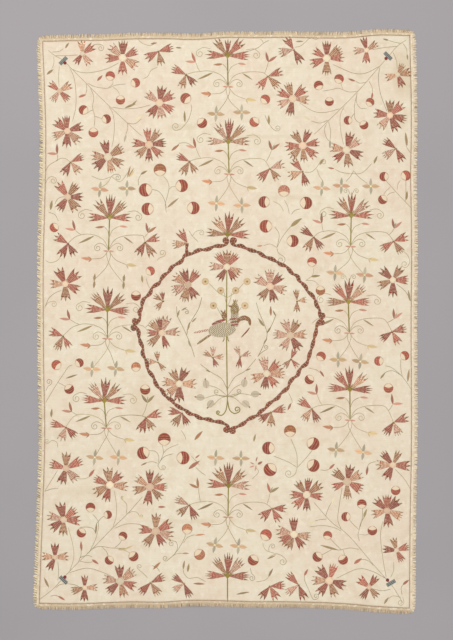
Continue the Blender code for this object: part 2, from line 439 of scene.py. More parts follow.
class Needlework:
    """Gathers the stitched shapes of one piece, each with its dye and its own places for the threads."""

    def __init__(self):
        self.points = []
        self.faces = []
        self.dyes = []
        self.threads = []
        self.count = 0
        self.chance = np.random.default_rng(7)

    def add(self, points, faces, dye, threads, variation=0.11):
        """Adds a shape. All of it gets one dye, a little lighter or darker than the last."""
        tone = 1 + variation * self.chance.standard_normal()
        self.points.append(points)
        self.faces.extend([tuple(corner + self.count for corner in face) for face in faces])
        self.dyes.append(np.tile((*(np.array(dye) * tone), 1.0), (len(points), 1)))
        self.threads.append(threads)
        self.count += len(points)

    def lay(self, shape, x, y, turn, length, width, dye, rise=1.0, lift=0.0):
        """Lays a copy of a shape from a place, turned to an angle: 0 is right and 90 is up."""
        turn = math.radians(turn)
        along, across = shape.points[:, 1] * length, shape.points[:, 0] * width
        placed_x = x + along * math.cos(turn) + across * math.sin(turn)
        placed_y = y + along * math.sin(turn) - across * math.cos(turn)
        placed_z = cloth_top(placed_x, placed_y) + shape.points[:, 2] * rise + lift
        threads = shape.share.copy()
        threads[:, 2] = length
        self.add(np.stack((placed_x, placed_y, placed_z), axis=1), shape.faces, dye, threads)

    def run(self, x, y, half_width, height, dye, taper=0.35, lift=0.0):
        """Lays a rounded cord along a path, tapered towards both ends."""
        way_x, way_y = way_along(x, y)
        along = length_along(x, y)
        to_end = np.minimum(along, along[-1] - along)
        size = taper + (1 - taper) * np.clip(to_end / (4 * half_width + 1e-9), 0, 1) ** 0.6
        base = cloth_top(x, y) + lift
        rings, threads = [], []
        for across, up in CORD_SECTION:
            offset = across * half_width * size
            rings.append((x + way_y * offset, y - way_x * offset, base + up * height * size))
            threads.append((np.full_like(x, across), along, np.full_like(x, half_width)))
        self.add(in_rings(rings), tube_faces(len(x), len(CORD_SECTION)), dye, in_rings(threads))

    def finish(self, name, material, slot="embroidery_silk"):
        """Joins all that was laid into one piece."""
        mesh = bpy.data.meshes.new(name)
        mesh.from_pydata(np.vstack(self.points).tolist(), [], self.faces)
        dye = mesh.attributes.new("dye", "FLOAT_COLOR", "POINT")
        dye.data.foreach_set("color", np.vstack(self.dyes).astype(np.float32).ravel())
        thread = mesh.attributes.new("thread", "FLOAT_VECTOR", "POINT")
        thread.data.foreach_set("vector", np.vstack(self.threads).astype(np.float32).ravel())
        piece = bpy.data.objects.new(name, mesh)
        bpy.context.scene.collection.objects.link(piece)
        select_only(piece)
        bpy.ops.object.shade_smooth_by_angle(angle=math.radians(SMOOTH_ANGLE))
        mesh.materials.append(material)
        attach(piece, "root")
        return piece


def lay_stitch(u, v):
    """A short stitch: a low pointed ridge, one long and one wide."""
    narrowing = np.sqrt(np.clip(1 - v * v * 0.92, 0, 1))
    return u * 0.5 * narrowing, (v + 1) / 2, 0.0013 * (1 - 0.8 * u * u) * narrowing


def silk_cord_finish(name):
    """Plied silk in the dye of its points, with slanting plies and a soft gloss."""
    finish = Finish(name, 0.55, 0.25)
    across, along, _ = finish.threads()
    plies = finish.waves(along, CORD_PLY_PITCH, across * 2.2)
    wear = finish.noise(finish.place(), 60.0, 3.0)
    finish.cover(finish.range(plies, -1.0, 0.4, 0.22, 0.0), PLY_SHADE)
    finish.cover(finish.range(wear, 0.50, 0.80, 0.0, 0.35), LINEN_CREAM)
    return finish.finished(plies, 0.0003, 0.6)


stitch_shape = pick_up(grid_sheet("stitch", 2, 4, lay_stitch), 0.0012)
seam = Needlework()
for side in SIDES:
    share = np.linspace(0, 1, 2000)
    edge_x, edge_y, way_x, way_y = side_edge(side, share)
    along = length_along(edge_x, edge_y)
    for start in np.arange(SEAM_START, along[-1] - SEAM_END, SEAM_PITCH):
        turn_x, turn_y = np.interp(start, along, way_x), np.interp(start, along, way_y)
        x = np.interp(start, along, edge_x) + turn_y * SEAM_INSET
        y = np.interp(start, along, edge_y) - turn_x * SEAM_INSET
        turn = math.degrees(math.atan2(turn_y, turn_x)) + SEAM_SLANT + 3 * seam.chance.standard_normal()
        dye = SEAM_TAN if seam.chance.random() < SEAM_TAN_SHARE else SEAM_ROSE
        seam.lay(stitch_shape, x, y, turn, SEAM_STITCH, SEAM_WIDTH, dye)
seam.finish("seam_stitches", silk_cord_finish("seam silk"))

# Fringe: a narrow woven heading of cream silk sewn to each side, with short tufts of cut floss hanging out
# of its outer edge. The tufts differ from side to side in their size, their lean and the gaps between them.
HEADING_WIDTH = 0.013
HEADING_STEP = 0.007
HEADING_FOOT = 0.0003
HEADING_SECTION = (
    (0.0, 0.0008), (0.06, 0.0024), (0.30, 0.0031), (0.55, 0.0027), (0.80, 0.0030), (1.0, 0.0012),
)
TUFT_LENGTH = 0.0158
LONGEST_STRAND = TUFT_LENGTH * 1.25
STRAND_PITCH = 0.00087
STRAND_HALF_WIDTH = 0.00095
STRAND_LEVELS = np.array((0.0, 0.34, 0.70, 1.0))
STRAND_SECTION = ((-1.0, -0.5), (0.0, 1.0), (1.0, -0.5))
ROOT_HEIGHT, TIP_DROP, ROOT_SCATTER = 0.0024, 0.0012, 0.0007
LOCK_GATHER = 0.10
CORNER_FADE = 0.060
CORNER_ROUNDING = 0.030
SEAM_CLEARANCE = 0.0004

# How each side's tufts lie: strands in one, share of their room that they fill, lean, and unevenness
TUFTS = {
    "head": (8, 0.94, 0.06, 0.05),
    "right": (7, 0.84, 0.08, 0.05),
    "foot": (6, 1.0, 0.04, 0.03),
    "left": (12, 0.76, 0.34, 0.07),
}

# Each side's colours: its heading's dye, and its floss's pale, middle and dark ones. The dark one is painted
# shadow, given to a few strands scattered through the tufts.
# The foot's colours are the darkest of the four sides, and the right side's the palest.
FRINGE_DYES_AND_SHADOW = {
    "head": (srgb(222, 202, 170), srgb(242, 228, 202), srgb(218, 198, 164), srgb(140, 112, 80)),
    "right": (srgb(240, 224, 198), srgb(252, 242, 222), srgb(238, 222, 194), srgb(166, 140, 108)),
    "foot": (srgb(214, 194, 164), srgb(230, 212, 184), srgb(206, 186, 154), srgb(146, 120, 90)),
    "left": (srgb(234, 216, 188), srgb(250, 240, 212), srgb(234, 218, 184), srgb(164, 140, 106)),
}
BRAID_SHADE, BRAID_AGED, BRAID_PAINTED_HIGHLIGHT = srgb(190, 164, 122), srgb(204, 178, 138), srgb(250, 240, 216)
BRAID_FLECK = srgb(118, 92, 58)
BRAID_RIB_PITCH = 0.0042
FLOSS_SHADE = srgb(170, 140, 96)
SHADOW_STRAND_SHARE = 0.10


class FringeSide:
    """One side's line of heading and tufts, mitred at both ends."""

    def __init__(self, side):
        self.x, self.y, self.way_x, self.way_y = side_edge(side, np.linspace(0, 1, 1500))
        self.along = length_along(self.x, self.y)
        self.length = self.along[-1]

    def splay(self, along):
        """How far a place leans towards the nearer corner, from -1 to 1."""
        at_start = np.clip(1 - along / CORNER_FADE, 0, 1) ** 2
        at_end = np.clip(1 - (self.length - along) / CORNER_FADE, 0, 1) ** 2
        return at_end - at_start

    def place(self, along, out):
        """A place so far along the side and out of it."""
        way_x, way_y = np.interp(along, self.along, self.way_x), np.interp(along, self.along, self.way_y)
        lean = self.splay(along)
        x = np.interp(along, self.along, self.x) + out * (-way_y + way_x * lean)
        y = np.interp(along, self.along, self.y) + out * (way_x + way_y * lean)
        return x, y


def heading_finish():
    """Woven silk braid: ribs across the strip, painted highlights in pale flecks, and brown flecks of age."""
    finish = Finish("fringe heading", 0.62, 0.2)
    across, along, _ = finish.threads()
    ribs = finish.waves(along, BRAID_RIB_PITCH)
    edge = finish.waves(across, 0.5)
    patches = finish.noise(finish.place(), 34.0, 3.0)
    flecks = finish.noise(finish.place(), 150.0, 2.0)
    painted_highlights = finish.noise(finish.place(), 70.0, 3.0)
    finish.cover(finish.range(ribs, -1.0, 0.6, 0.35, 0.0), BRAID_SHADE)
    finish.cover(finish.range(patches, 0.45, 0.75, 0.0, 0.45), BRAID_AGED)
    # Painted highlight: pale flecks in the braid's colour stand in for light glinting off the silk.
    finish.cover(finish.range(painted_highlights, 0.54, 0.70, 0.0, 0.60), BRAID_PAINTED_HIGHLIGHT)
    finish.cover(finish.range(flecks, 0.66, 0.78, 0.0, 0.75), BRAID_FLECK)
    return finish.finished(ribs * 0.8 + edge * 0.4, 0.0006, 0.8)


def floss_finish():
    """Cut silk floss: fine lengthwise grain and a soft gloss."""
    finish = Finish("fringe floss", 0.55, 0.3)
    grain = finish.noise(finish.stretched(finish.attribute("thread", "Vector"), (3.0, 900.0, 4000.0)), 1.0)
    finish.cover(finish.range(grain, 0.45, 0.7, 0.0, 0.3), FLOSS_SHADE)
    return finish.finished(grain, 0.0003, 0.5)


heading_material, floss_material = heading_finish(), floss_finish()


def make_heading(side, line, work):
    """Lays one side's woven strip as a closed low ribbon."""
    along = np.linspace(0, line.length, round(line.length / HEADING_STEP))
    top, threads = [], []
    for column, rise in HEADING_SECTION:
        x, y = line.place(along, SEAM_CLEARANCE + column * (HEADING_WIDTH - SEAM_CLEARANCE))
        top.append((x, y, underside(x, y) + rise))
        threads.append((np.full_like(x, column), along, np.full_like(x, HEADING_WIDTH)))
    columns, steps = len(HEADING_SECTION), len(along)
    top, threads = in_rings(top), in_rings(threads)
    bottom = top.copy()
    bottom[:, 2] = underside(bottom[:, 0], bottom[:, 1]) + HEADING_FOOT
    low = len(top)
    faces = []
    for step in range(steps - 1):
        for column in range(columns - 1):
            corner = step * columns + column
            ahead = corner + columns
            faces.append((corner, ahead, ahead + 1, corner + 1))
            faces.append((corner + low, corner + 1 + low, ahead + 1 + low, ahead + low))
        for corner, turned in ((step * columns, True), (step * columns + columns - 1, False)):
            wall = (corner, corner + low, corner + columns + low, corner + columns)
            faces.append(wall if turned else wall[::-1])
    for column in range(columns - 1):
        last = (steps - 1) * columns + column
        faces.append((column, column + 1, column + 1 + low, column + low))
        faces.append((last, last + low, last + 1 + low, last + 1))
    work.add(np.vstack((top, bottom)), faces, FRINGE_DYES_AND_SHADOW[side][0], np.vstack((threads, threads)), 0.0)


def make_tufts(side, line, work):
    """Lays one side's cut tufts, each of fine strands with three faces."""
    chance = np.random.default_rng(len(side))
    table = np.linspace(0, line.length, 4000)
    root_line = table + HEADING_WIDTH * line.splay(table)
    strands, fullness, lock_lean, unevenness = TUFTS[side]
    pitch = strands * STRAND_PITCH
    pale, middle, shadow_dye = (np.array(dye) for dye in FRINGE_DYES_AND_SHADOW[side][1:])
    levels = STRAND_LEVELS
    faces = tube_faces(len(levels), len(STRAND_SECTION))
    places = np.arange(-HEADING_WIDTH + 0.002, line.length + HEADING_WIDTH - 0.001, pitch)
    for number, tuft in enumerate(places):
        tuft_shade = chance.random()
        tuft_lean = 2 * unevenness * chance.standard_normal()
        tuft_length = TUFT_LENGTH * (1 + unevenness * chance.standard_normal())
        for strand in range(strands):
            spread = (strand + 0.5) / strands - 0.5
            root = tuft + spread * fullness * pitch + 0.0003 * chance.standard_normal()
            along = np.interp(root, root_line, table)
            reach = tuft_length * (1 - 0.9 * spread * spread) * (1 + unevenness * chance.standard_normal())
            from_corner = min(root + HEADING_WIDTH, line.length + HEADING_WIDTH - root)
            shortening = 1 - 0.55 * max(1 - from_corner / CORNER_ROUNDING, 0) ** 1.5
            outwards = levels * min(reach, LONGEST_STRAND) * shortening
            lean = lock_lean + tuft_lean - LOCK_GATHER * spread + 0.08 * chance.standard_normal()
            bow = 0.0010 * chance.standard_normal()
            sideways = lean * outwards + bow * levels * (1 - levels)
            start_x, start_y = line.place(along, HEADING_WIDTH - 0.0016)
            next_x, next_y = line.place(along, HEADING_WIDTH + 0.010)
            way = np.array((next_x - start_x, next_y - start_y))
            way_x, way_y = way / np.hypot(*way)
            x = start_x + outwards * way_x + sideways * way_y
            y = start_y + outwards * way_y - sideways * way_x
            height = ROOT_HEIGHT - TIP_DROP * levels + ROOT_SCATTER * chance.random() * (1 - levels)
            z = underside(x, y) + height
            girth = STRAND_HALF_WIDTH * (1 - 0.45 * levels) * (0.8 + 0.4 * chance.random())
            edges = [(x + way_y * girth * across, y - way_x * girth * across, z + girth * up)
                     for across, up in STRAND_SECTION]
            # Painted shade: strands at the sides of each lock are darker, for the shade in the gaps between
            # the locks, on top of each tuft's and strand's own random tone.
            tone_and_gap_shade = 0.45 * tuft_shade + 0.35 * chance.random() + 0.45 * (abs(spread) > 0.30)
            dye = pale + (middle - pale) * min(tone_and_gap_shade, 1)
            # Painted shadow: a few strands take the dark colour, for shade among the floss.
            if chance.random() < SHADOW_STRAND_SHARE:
                dye = shadow_dye
            thread = (np.full_like(x, strand), outwards, np.full_like(x, number * 0.01))
            work.add(in_rings(edges), faces, dye, in_rings([thread] * len(STRAND_SECTION)), 0.05)


for side in SIDES:
    line = FringeSide(side)
    heading = Needlework()
    make_heading(side, line, heading)
    piece = heading.finish("fringe_heading_" + side, heading_material, "fringe_silk")
    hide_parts("fringe_" + side)
    tufts = Needlework()
    make_tufts(side, line, tufts)
    tufts.finish("fringe_tufts_" + side, floss_material, "fringe_silk")

# Stems and curls: thin lines of stem stitch in pale olive and grey-green silk, one strand wide, which carry
# all the flowers and end in tendrils. The upright stems of the fan plants are three strands wide.
PIXEL = 0.0045
MIDDLE_PIXEL_X, MIDDLE_PIXEL_Y = 225.7, 321.2

# The enlarged parts: the pixel at each one's upper left corner, and how many times it is enlarged
PARTS = {
    "TL": (0, 0, 6.907), "TR": (227, 0, 6.907), "ML": (0, 213, 6.907), "MR": (227, 213, 6.907),
    "BL": (0, 427, 6.907), "BR": (227, 427, 6.907), "middle": (125, 230, 7.467),
    "head left": (30, 20, 7.84), "foot left": (30, 430, 8.475), "head right": (225, 20, 7.84),
    "foot right": (225, 430, 7.84), "side left": (30, 205, 6.818), "side right": (315, 205, 6.818),
    "upper right": (225, 20, 7.293),
}
STEM_HALF_WIDTH, STEM_HEIGHT = 0.0012, 0.0012
TRUNK_HALF_WIDTH, TRUNK_HEIGHT = 0.0031, 0.0018
COIL_CLOSING = 0.78
STEM_OLIVE = srgb(176, 160, 112)
STEM_GREY = srgb(170, 158, 124)
TRUNK_OLIVE = srgb(146, 134, 56)


def spot(px, py):
    """The place in metres of a pixel of the photograph."""
    return (px - MIDDLE_PIXEL_X) * PIXEL, (MIDDLE_PIXEL_Y - py) * PIXEL


def seen(part, numbers):
    """The photograph's pixels for places read in one of its enlarged parts, given as x and y in turn."""
    start_x, start_y, enlarged = PARTS[part]
    return [(start_x + x / enlarged, start_y + y / enlarged) for x, y in zip(numbers[::2], numbers[1::2])]


def inside(x, y):
    """The place in metres of one read in the enlarged middle part."""
    return spot(*seen("middle", (x, y))[0])


def smooth(points, step=1.3):
    """An even smooth path through points, in pixels."""
    points = np.array(points, float)
    padded = np.vstack((2 * points[0] - points[1], points, 2 * points[-1] - points[-2]))
    path = []
    for before, start, end, after in zip(padded, padded[1:], padded[2:], padded[3:]):
        count = max(2, round(np.hypot(*(end - start)) / step))
        for t in np.arange(count) / count:
            square_term = 2 * before - 5 * start + 4 * end - after
            cube_term = 3 * start - before - 3 * end + after
            path.append(start + 0.5 * t * (end - before + t * (square_term + t * cube_term)))
    path.append(padded[-2])
    return np.array(path)


def tendril(path, radius, turns=1.35):
    """A path that winds up at its end: to its left where the radius is above zero, and otherwise right."""
    way = path[-1] - path[-2]
    way /= np.hypot(*way)
    left = np.array((way[1], -way[0]))
    size, side = abs(radius), math.copysign(1, radius)
    centre = path[-1] + left * side * size
    start = math.atan2(-(path[-1] - centre)[1], (path[-1] - centre)[0])
    share = np.linspace(0, 1, max(14, round(size * turns * 4)))[1:]
    angle = start + side * 2 * math.pi * turns * share
    reach = size * (1 - COIL_CLOSING * share)
    coil = np.stack((centre[0] + reach * np.cos(angle), centre[1] - reach * np.sin(angle)), axis=1)
    return np.vstack((path, coil))


def stem(work, points, curl=0.0, dye=STEM_OLIVE, half_width=STEM_HALF_WIDTH, height=STEM_HEIGHT):
    """Works one stem through places in pixels, with a tendril of that radius at its end."""
    path = smooth(points)
    if curl:
        path = tendril(path, curl)
    x, y = spot(path[:, 0], path[:, 1])
    work.run(x, y, half_width, height, dye)


# Each stem, by the enlarged part that it was read in: the radius of the tendril at its end, which is 0 for
# none, and then the x and y of its places
STEMS = (
    ("side left", (0, 124, 49, 170, 66, 195, 111)),
    ("upper right", (-3.0, 578, 1110, 630, 1108, 668, 1075, 700, 1025),
     (0, 668, 1085, 690, 1140, 715, 1180, 712, 1215), (0, 740, 760, 725, 800, 740, 860, 768, 888),
     (3.2, 290, 690, 310, 740, 345, 790, 370, 808), (0, 940, 1095, 915, 1140, 880, 1180),
     (0, 940, 1100, 970, 1140, 1040, 1195), (0, 1255, 1240, 1260, 1200, 1280, 1165),
     (0, 1240, 1255, 1200, 1265, 1180, 1285)),
    ("head left", (-3.4, 480, 215, 500, 196, 535, 190, 562, 196),
     (0, 1000, 370, 950, 395, 925, 440, 888, 462), (0, 615, 530, 650, 500, 648, 470),
     (0, 500, 705, 470, 715, 445, 735), (0, 122, 1190, 150, 1140, 215, 1095, 212, 1050),
     (0, 205, 1110, 240, 1085, 280, 1088, 310, 1110), (-3.6, 120, 1285, 140, 1245, 165, 1228, 190, 1232),
     (0, 195, 1445, 215, 1405, 250, 1388, 280, 1388)),
    ("foot left", (0, 125, 520, 180, 430, 235, 340), (0, 125, 520, 180, 500, 240, 495),
     (0, 420, 1085, 455, 1068, 500, 1065, 530, 1078),
     (-3.0, 1310, 865, 1315, 900, 1290, 955, 1235, 1040, 1165, 1105),
     (3.0, 1225, 1050, 1250, 1000, 1240, 950, 1205, 938), (0, 1300, 960, 1330, 915, 1375, 892, 1400, 890),
     (0, 1205, 1070, 1240, 1050, 1290, 1045), (0, 1080, 310, 1130, 200, 1120, 130),
     (0, 1125, 200, 1175, 155, 1260, 120), (0, 1095, 275, 1140, 225, 1215, 200),
     (0, 1090, 280, 1090, 220, 1060, 180, 1000, 175), (2.6, 1085, 300, 1100, 330, 1125, 338),
     (0, 1085, 285, 1040, 268, 990, 275), (0, 1100, 1205, 1075, 1165, 1030, 1148),
     (-2.6, 1000, 1255, 960, 1215, 930, 1190, 912, 1172),
     (0, 1300, 1180, 1305, 1215, 1345, 1255, 1420, 1250, 1490, 1285), (0, 1400, 310, 1440, 350, 1490, 385)),
    ("foot right", (0, 295, 880, 305, 920, 335, 950, 405, 970), (-4.0, 400, 968, 440, 982, 472, 1008),
     (-2.8, 345, 955, 344, 925, 354, 902), (0, 405, 972, 365, 985, 335, 1010),
     (0, 1165, 1065, 1130, 1030, 1095, 1015, 1060, 1018), (0, 1050, 935, 980, 925, 900, 940, 870, 940),
     (0, 1112, 310, 1130, 265, 1185, 245), (0, 745, 312, 790, 316, 822, 303),
     (3.0, 622, 1135, 625, 1180, 655, 1250, 690, 1325, 720, 1325), (0, 345, 1150, 310, 1178, 245, 1190),
     (-3.4, 1392, 1305, 1402, 1345), (0, 1388, 1295, 1380, 1240, 1396, 1212),
     (0, 1380, 1312, 1320, 1300, 1275, 1325), (0, 240, 290, 262, 330, 212, 385)),
    ("side left", (0, 100, 700, 130, 635, 175, 598, 215, 582), (-3.2, 105, 690, 128, 664, 158, 656),
     (0, 205, 362, 175, 385, 135, 392, 106, 378)),
    ("side right", (0, 448, 1180, 475, 1145, 530, 1130, 600, 1170), (0, 632, 1205, 628, 1175)),
    ("head right", (2.6, 545, 215, 590, 205, 628, 176, 655, 150, 680, 142, 706, 152),
     (0, 50, 272, 120, 256, 200, 240, 262, 216, 300, 184, 345, 160), (0, 300, 184, 292, 162, 272, 150),
     (0, 1456, 1045, 1424, 995, 1412, 930), (0, 465, 1410, 490, 1460, 505, 1520),
     (0, 375, 1420, 430, 1450, 460, 1500), (0, 590, 1480, 545, 1495, 520, 1525),
     (0, 1035, 575, 1030, 640, 1060, 690, 1110, 692)),
    ("head left", (0, 1070, 1510, 1060, 1450, 1080, 1370, 1090, 1310, 1075, 1260, 1045, 1225),
     (0, 1090, 1330, 1110, 1310, 1145, 1305), (0, 1072, 1480, 1050, 1400, 1010, 1345, 950, 1325),
     (0, 850, 1300, 852, 1250, 872, 1210), (0, 1130, 1020, 1170, 970, 1230, 965, 1290, 1000)),
    ("foot left", (-2.6, 235, 150, 228, 105, 190, 88, 158, 110),
     (0, 350, 375, 400, 410, 460, 412, 502, 398),
     (0, 215, 1340, 250, 1312, 310, 1303, 380, 1312, 425, 1335), (0, 170, 1410, 215, 1400, 250, 1418),
     (0, 160, 1345, 155, 1310, 128, 1275), (0, 560, 880, 535, 835, 480, 822, 420, 825),
     (0, 560, 800, 600, 750, 635, 725), (-1.5, 815, 715, 822, 640, 800, 605, 775, 580),
     (1.8, 820, 710, 870, 690, 910, 700, 930, 735)),
    ("TL", (0, 330, 345, 380, 385, 440, 420, 500, 480, 595, 575, 700, 680, 880, 850, 980, 940),
     (0, 490, 475, 560, 500, 640, 500, 740, 475, 820, 435),
     (0, 480, 465, 512, 540, 525, 650, 522, 750, 500, 840),
     (0, 605, 575, 660, 600, 740, 610, 800, 588, 870, 580), (0, 780, 600, 810, 625, 828, 655),
     (0, 625, 610, 648, 670, 640, 740, 655, 810, 650, 880), (0, 650, 800, 690, 815, 720, 822),
     (0, 750, 735, 778, 780, 790, 860, 785, 950, 772, 1020), (0, 770, 740, 860, 752, 960, 745, 1040, 725),
     (0, 595, 575, 600, 620, 590, 650), (0, 880, 850, 930, 855, 980, 820),
     (0, 880, 850, 882, 890, 868, 930), (0, 360, 360, 410, 355, 440, 335),
     (0, 372, 390, 372, 440, 355, 480), (0, 410, 455, 405, 530, 408, 600),
     (0, 380, 385, 460, 385, 540, 380), (0, 950, 270, 985, 300, 1040, 315, 1075, 297),
     (-4.2, 1320, 720, 1322, 760, 1300, 830, 1255, 885, 1225, 900), (0, 770, 1220, 700, 1240, 630, 1215),
     (0, 770, 1220, 830, 1255, 885, 1190), (0, 770, 1220, 740, 1265, 692, 1300),
     (-3.2, 770, 1220, 790, 1205, 815, 1205)),
    ("TR", (0, 1240, 275, 1175, 320, 1115, 390, 1040, 475, 900, 635, 690, 845, 600, 930),
     (0, 1050, 460, 960, 505, 870, 505, 730, 445), (0, 1055, 465, 1045, 540, 1060, 650, 1105, 770),
     (0, 980, 560, 1000, 600, 1005, 640), (0, 970, 565, 920, 575, 885, 560),
     (0, 905, 630, 840, 635, 770, 610, 720, 620, 660, 630), (0, 800, 622, 790, 590, 782, 555),
     (0, 900, 640, 882, 720, 880, 790, 890, 830, 940, 865), (0, 880, 780, 860, 810, 840, 825),
     (0, 780, 750, 690, 775, 600, 770, 500, 710), (0, 810, 735, 782, 800, 785, 900, 805, 1000),
     (0, 700, 830, 640, 850, 580, 835), (0, 700, 840, 715, 900, 712, 970),
     (0, 1175, 320, 1080, 330, 1000, 345), (0, 1145, 360, 1170, 420, 1175, 480),
     (0, 1200, 300, 1150, 290, 1115, 278), (0, 1215, 300, 1240, 340, 1243, 375),
     (0, 850, 1200, 930, 1195, 1000, 1130), (0, 850, 1200, 790, 1190, 745, 1170),
     (0, 1275, 1440, 1180, 1340, 1100, 1250, 1085, 1225), (0, 1230, 1395, 1235, 1340, 1235, 1240),
     (0, 1130, 1290, 1090, 1330, 1078, 1370)),
    ("ML", (3.6, 1085, 330, 1100, 312, 1130, 300), (0, 1010, 450, 1020, 490, 1035, 520),
     (0, 315, 1310, 380, 1200, 440, 1110, 475, 1060, 500, 1050), (0, 400, 1170, 440, 1190, 470, 1210),
     (3.2, 318, 1230, 330, 1200, 350, 1185), (0, 1303, 120, 1330, 160, 1370, 200),
     (-3.0, 1330, 160, 1350, 130, 1385, 118)),
    ("MR", (0, 1170, 490, 1230, 540, 1275, 615), (-3.8, 1200, 250, 1245, 290, 1262, 335, 1250, 365),
     (-4.4, 345, 240, 355, 275, 390, 300), (0, 345, 240, 380, 170, 440, 95, 520, 40),
     (0, 345, 240, 360, 150, 330, 95), (0, 345, 240, 300, 215, 250, 225),
     (0, 1275, 1220, 1210, 1130, 1140, 1070, 1090, 1055), (0, 1210, 1130, 1200, 1070, 1200, 1010),
     (0, 540, 470, 590, 430, 600, 380), (0, 545, 465, 600, 470, 635, 500),
     (0, 560, 1070, 620, 1085, 640, 1105), (0, 425, 1240, 450, 1300, 435, 1330)),
    ("BL", (0, 275, 1190, 365, 1120, 430, 1050, 540, 935, 620, 860, 770, 705, 880, 600, 985, 480),
     (0, 480, 1005, 600, 975, 700, 1000, 790, 1040), (0, 480, 1000, 510, 900, 500, 800, 470, 690),
     (0, 540, 935, 560, 880, 557, 830), (0, 550, 925, 600, 935, 645, 930),
     (0, 600, 875, 650, 835, 700, 825, 770, 835, 870, 838), (0, 790, 836, 830, 800, 846, 760),
     (0, 700, 825, 735, 860, 752, 905), (0, 820, 838, 880, 860, 915, 885),
     (0, 620, 860, 665, 760, 680, 660, 640, 600), (0, 780, 690, 802, 620, 805, 540, 790, 440),
     (0, 790, 700, 870, 670, 950, 670, 1030, 690), (0, 400, 1060, 405, 1000, 400, 930),
     (0, 1250, 20, 1275, 60, 1285, 90), (0, 1320, 200, 1360, 240, 1378, 265)),
    ("BR", (0, 1215, 1215, 1150, 1110, 1100, 1050, 1020, 960, 840, 750, 720, 655, 600, 520),
     (0, 1095, 1045, 1000, 995, 900, 980, 755, 1045), (0, 1100, 1040, 1075, 900, 1060, 750, 1075, 650),
     (0, 790, 848, 740, 800, 708, 765), (0, 730, 842, 680, 870, 640, 890),
     (0, 800, 845, 810, 880, 806, 910), (0, 915, 790, 905, 750, 910, 720, 925, 660, 950, 620),
     (0, 920, 690, 935, 620, 936, 550), (0, 912, 710, 870, 670, 840, 635),
     (0, 912, 740, 960, 745, 995, 728), (0, 790, 710, 765, 640, 775, 540, 795, 420),
     (0, 790, 720, 740, 695, 660, 680, 570, 690), (0, 680, 620, 700, 560, 722, 520),
     (0, 690, 635, 640, 640, 605, 650), (0, 1130, 1040, 1150, 990, 1150, 930),
     (0, 1130, 1120, 1070, 1130, 1000, 1115), (-4.0, 485, 280, 470, 325, 440, 345),
     (0, 485, 280, 480, 180, 440, 80), (0, 485, 280, 540, 220, 590, 160), (0, 485, 280, 420, 240, 320, 200),
     (0, 1160, 290, 1225, 360, 1280, 450), (-3.2, 160, 970, 170, 1010, 185, 1025)),
)
stems = Needlework()
STEM_ROWS = [(part, row) for part, *rows in STEMS for row in rows]
for number, (part, (curl, *places)) in enumerate(STEM_ROWS):
    stem(stems, seen(part, places), curl, STEM_OLIVE if number % 3 else STEM_GREY)

# Fan plants: eleven upright plants in three columns. Each has a fan of five split petals on an olive trunk,
# with a pink band at its foot, arches to hanging flowers on both sides, and two stems crossing below it.
# Each row: the fan's base, the trunk's foot, the five petals' dyes, and the pairs of tendrils above the fan
Fan = namedtuple("Fan", "base_x base_y foot_x foot_y threads curls")
FANS = [Fan(*row) for row in (
    (227.5, 56, 228, 86.5, "RTRRD", 1), (228.2, 142, 229, 174, "PPTSD", 1),
    (227.5, 235, 227.5, 242, "TSTRD", 0), (228.4, 486, 228, 517, "RTTPD", 0),
    (227.5, 576, 227.5, 603, "RTPRD", 0), (109.6, 218, 108.6, 250.9, "RTTRD", 1),
    (107.4, 310, 107.5, 338.5, "RTTRD", 1), (104.2, 401, 106.4, 428, "RPTRD", 1),
    (351.2, 216, 350.6, 246.3, "RTPRD", 2), (348.3, 302, 349.2, 333, "TRSRD", 2),
    (349.8, 389.6, 350, 420, "RRSDD", 0),
)]
HEAD_EDGE = 38.2
SHORTEST_PLANT, LOWEST_PLANT_FOOT = 10, 600
FAN_ANGLES = (176, 129, 46, 2, 88)
FAN_REACHES = (0.103, 0.104, 0.106, 0.104, 0.110)
FAN_PETAL_START, FAN_BREADTH = 0.008, 0.62
CUP_ANGLES = (152, 108, 66, 26)
SEPAL_LENGTH, SEPAL_HALF_WIDTH = 0.030, 0.0022
CUP_DROP, CUP_HEIGHT, CUP_HALF_WIDTH = 0.010, 0.024, 0.0090

# The plant's plan: places in millimetres from its foot, as right of it and above it. Each pair is what stands
# on the left and then what stands on the right. The wishes are where the flowers that it leads to would be.
PLAN_LEAVES = (((0, 52), (-6, 80), (-23, 98)), ((0, 52), (16, 84), (46, 100)))
PLAN_LEAF_TIPS = (((-23, 98), (-65, 92)), ((46, 100), (85, 98)))
PLAN_ARCHES = (
    ((0, 6), (-22, 42), (-56, 61), (-92, 68), (-125, 65)),
    ((0, 6), (24, 42), (58, 58), (105, 64), (150, 62)),
)
PLAN_LANCES = (((-68, 60), (-136, 28)), ((66, 57), (112, 30)))
PLAN_SPIRALS = (((0, 2), (-20, 23), (-42, 31), (-58, 24)), ((0, 2), (20, 23), (42, 31), (58, 24)))
PLAN_CROSSING = (((9, -3), (6, -30), (-14, -70)), ((-9, -3), (-6, -30), (14, -70)))
PLAN_LOW_SPRIGS = (((-3, -3), (-30, -28), (-76, -33)), ((3, -3), (32, -36), (80, -56)))
HANGING_WISH = ((-168, 40), (188, 24))
BUD_WISH = ((-134, 96), (200, 88))
CROSS_WISH = ((-70, -122), (66, -130))
PLAN_HEIGHT = 133
SPIRAL_RADIUS, HOOK_RADIUS, TOP_HOOK_RADIUS = 3.6, 4.0, 2.6

# The tendrils above a fan: the pixels beside its base and above it that they run through
FAN_HOOKS = {-1: ((17, 7.0), (24, 8.5), (29.5, 6)), 1: ((18, 6.0), (26, 7.0), (31, 4))}
TOP_HOOK = ((0.8, 21), (3, 26))


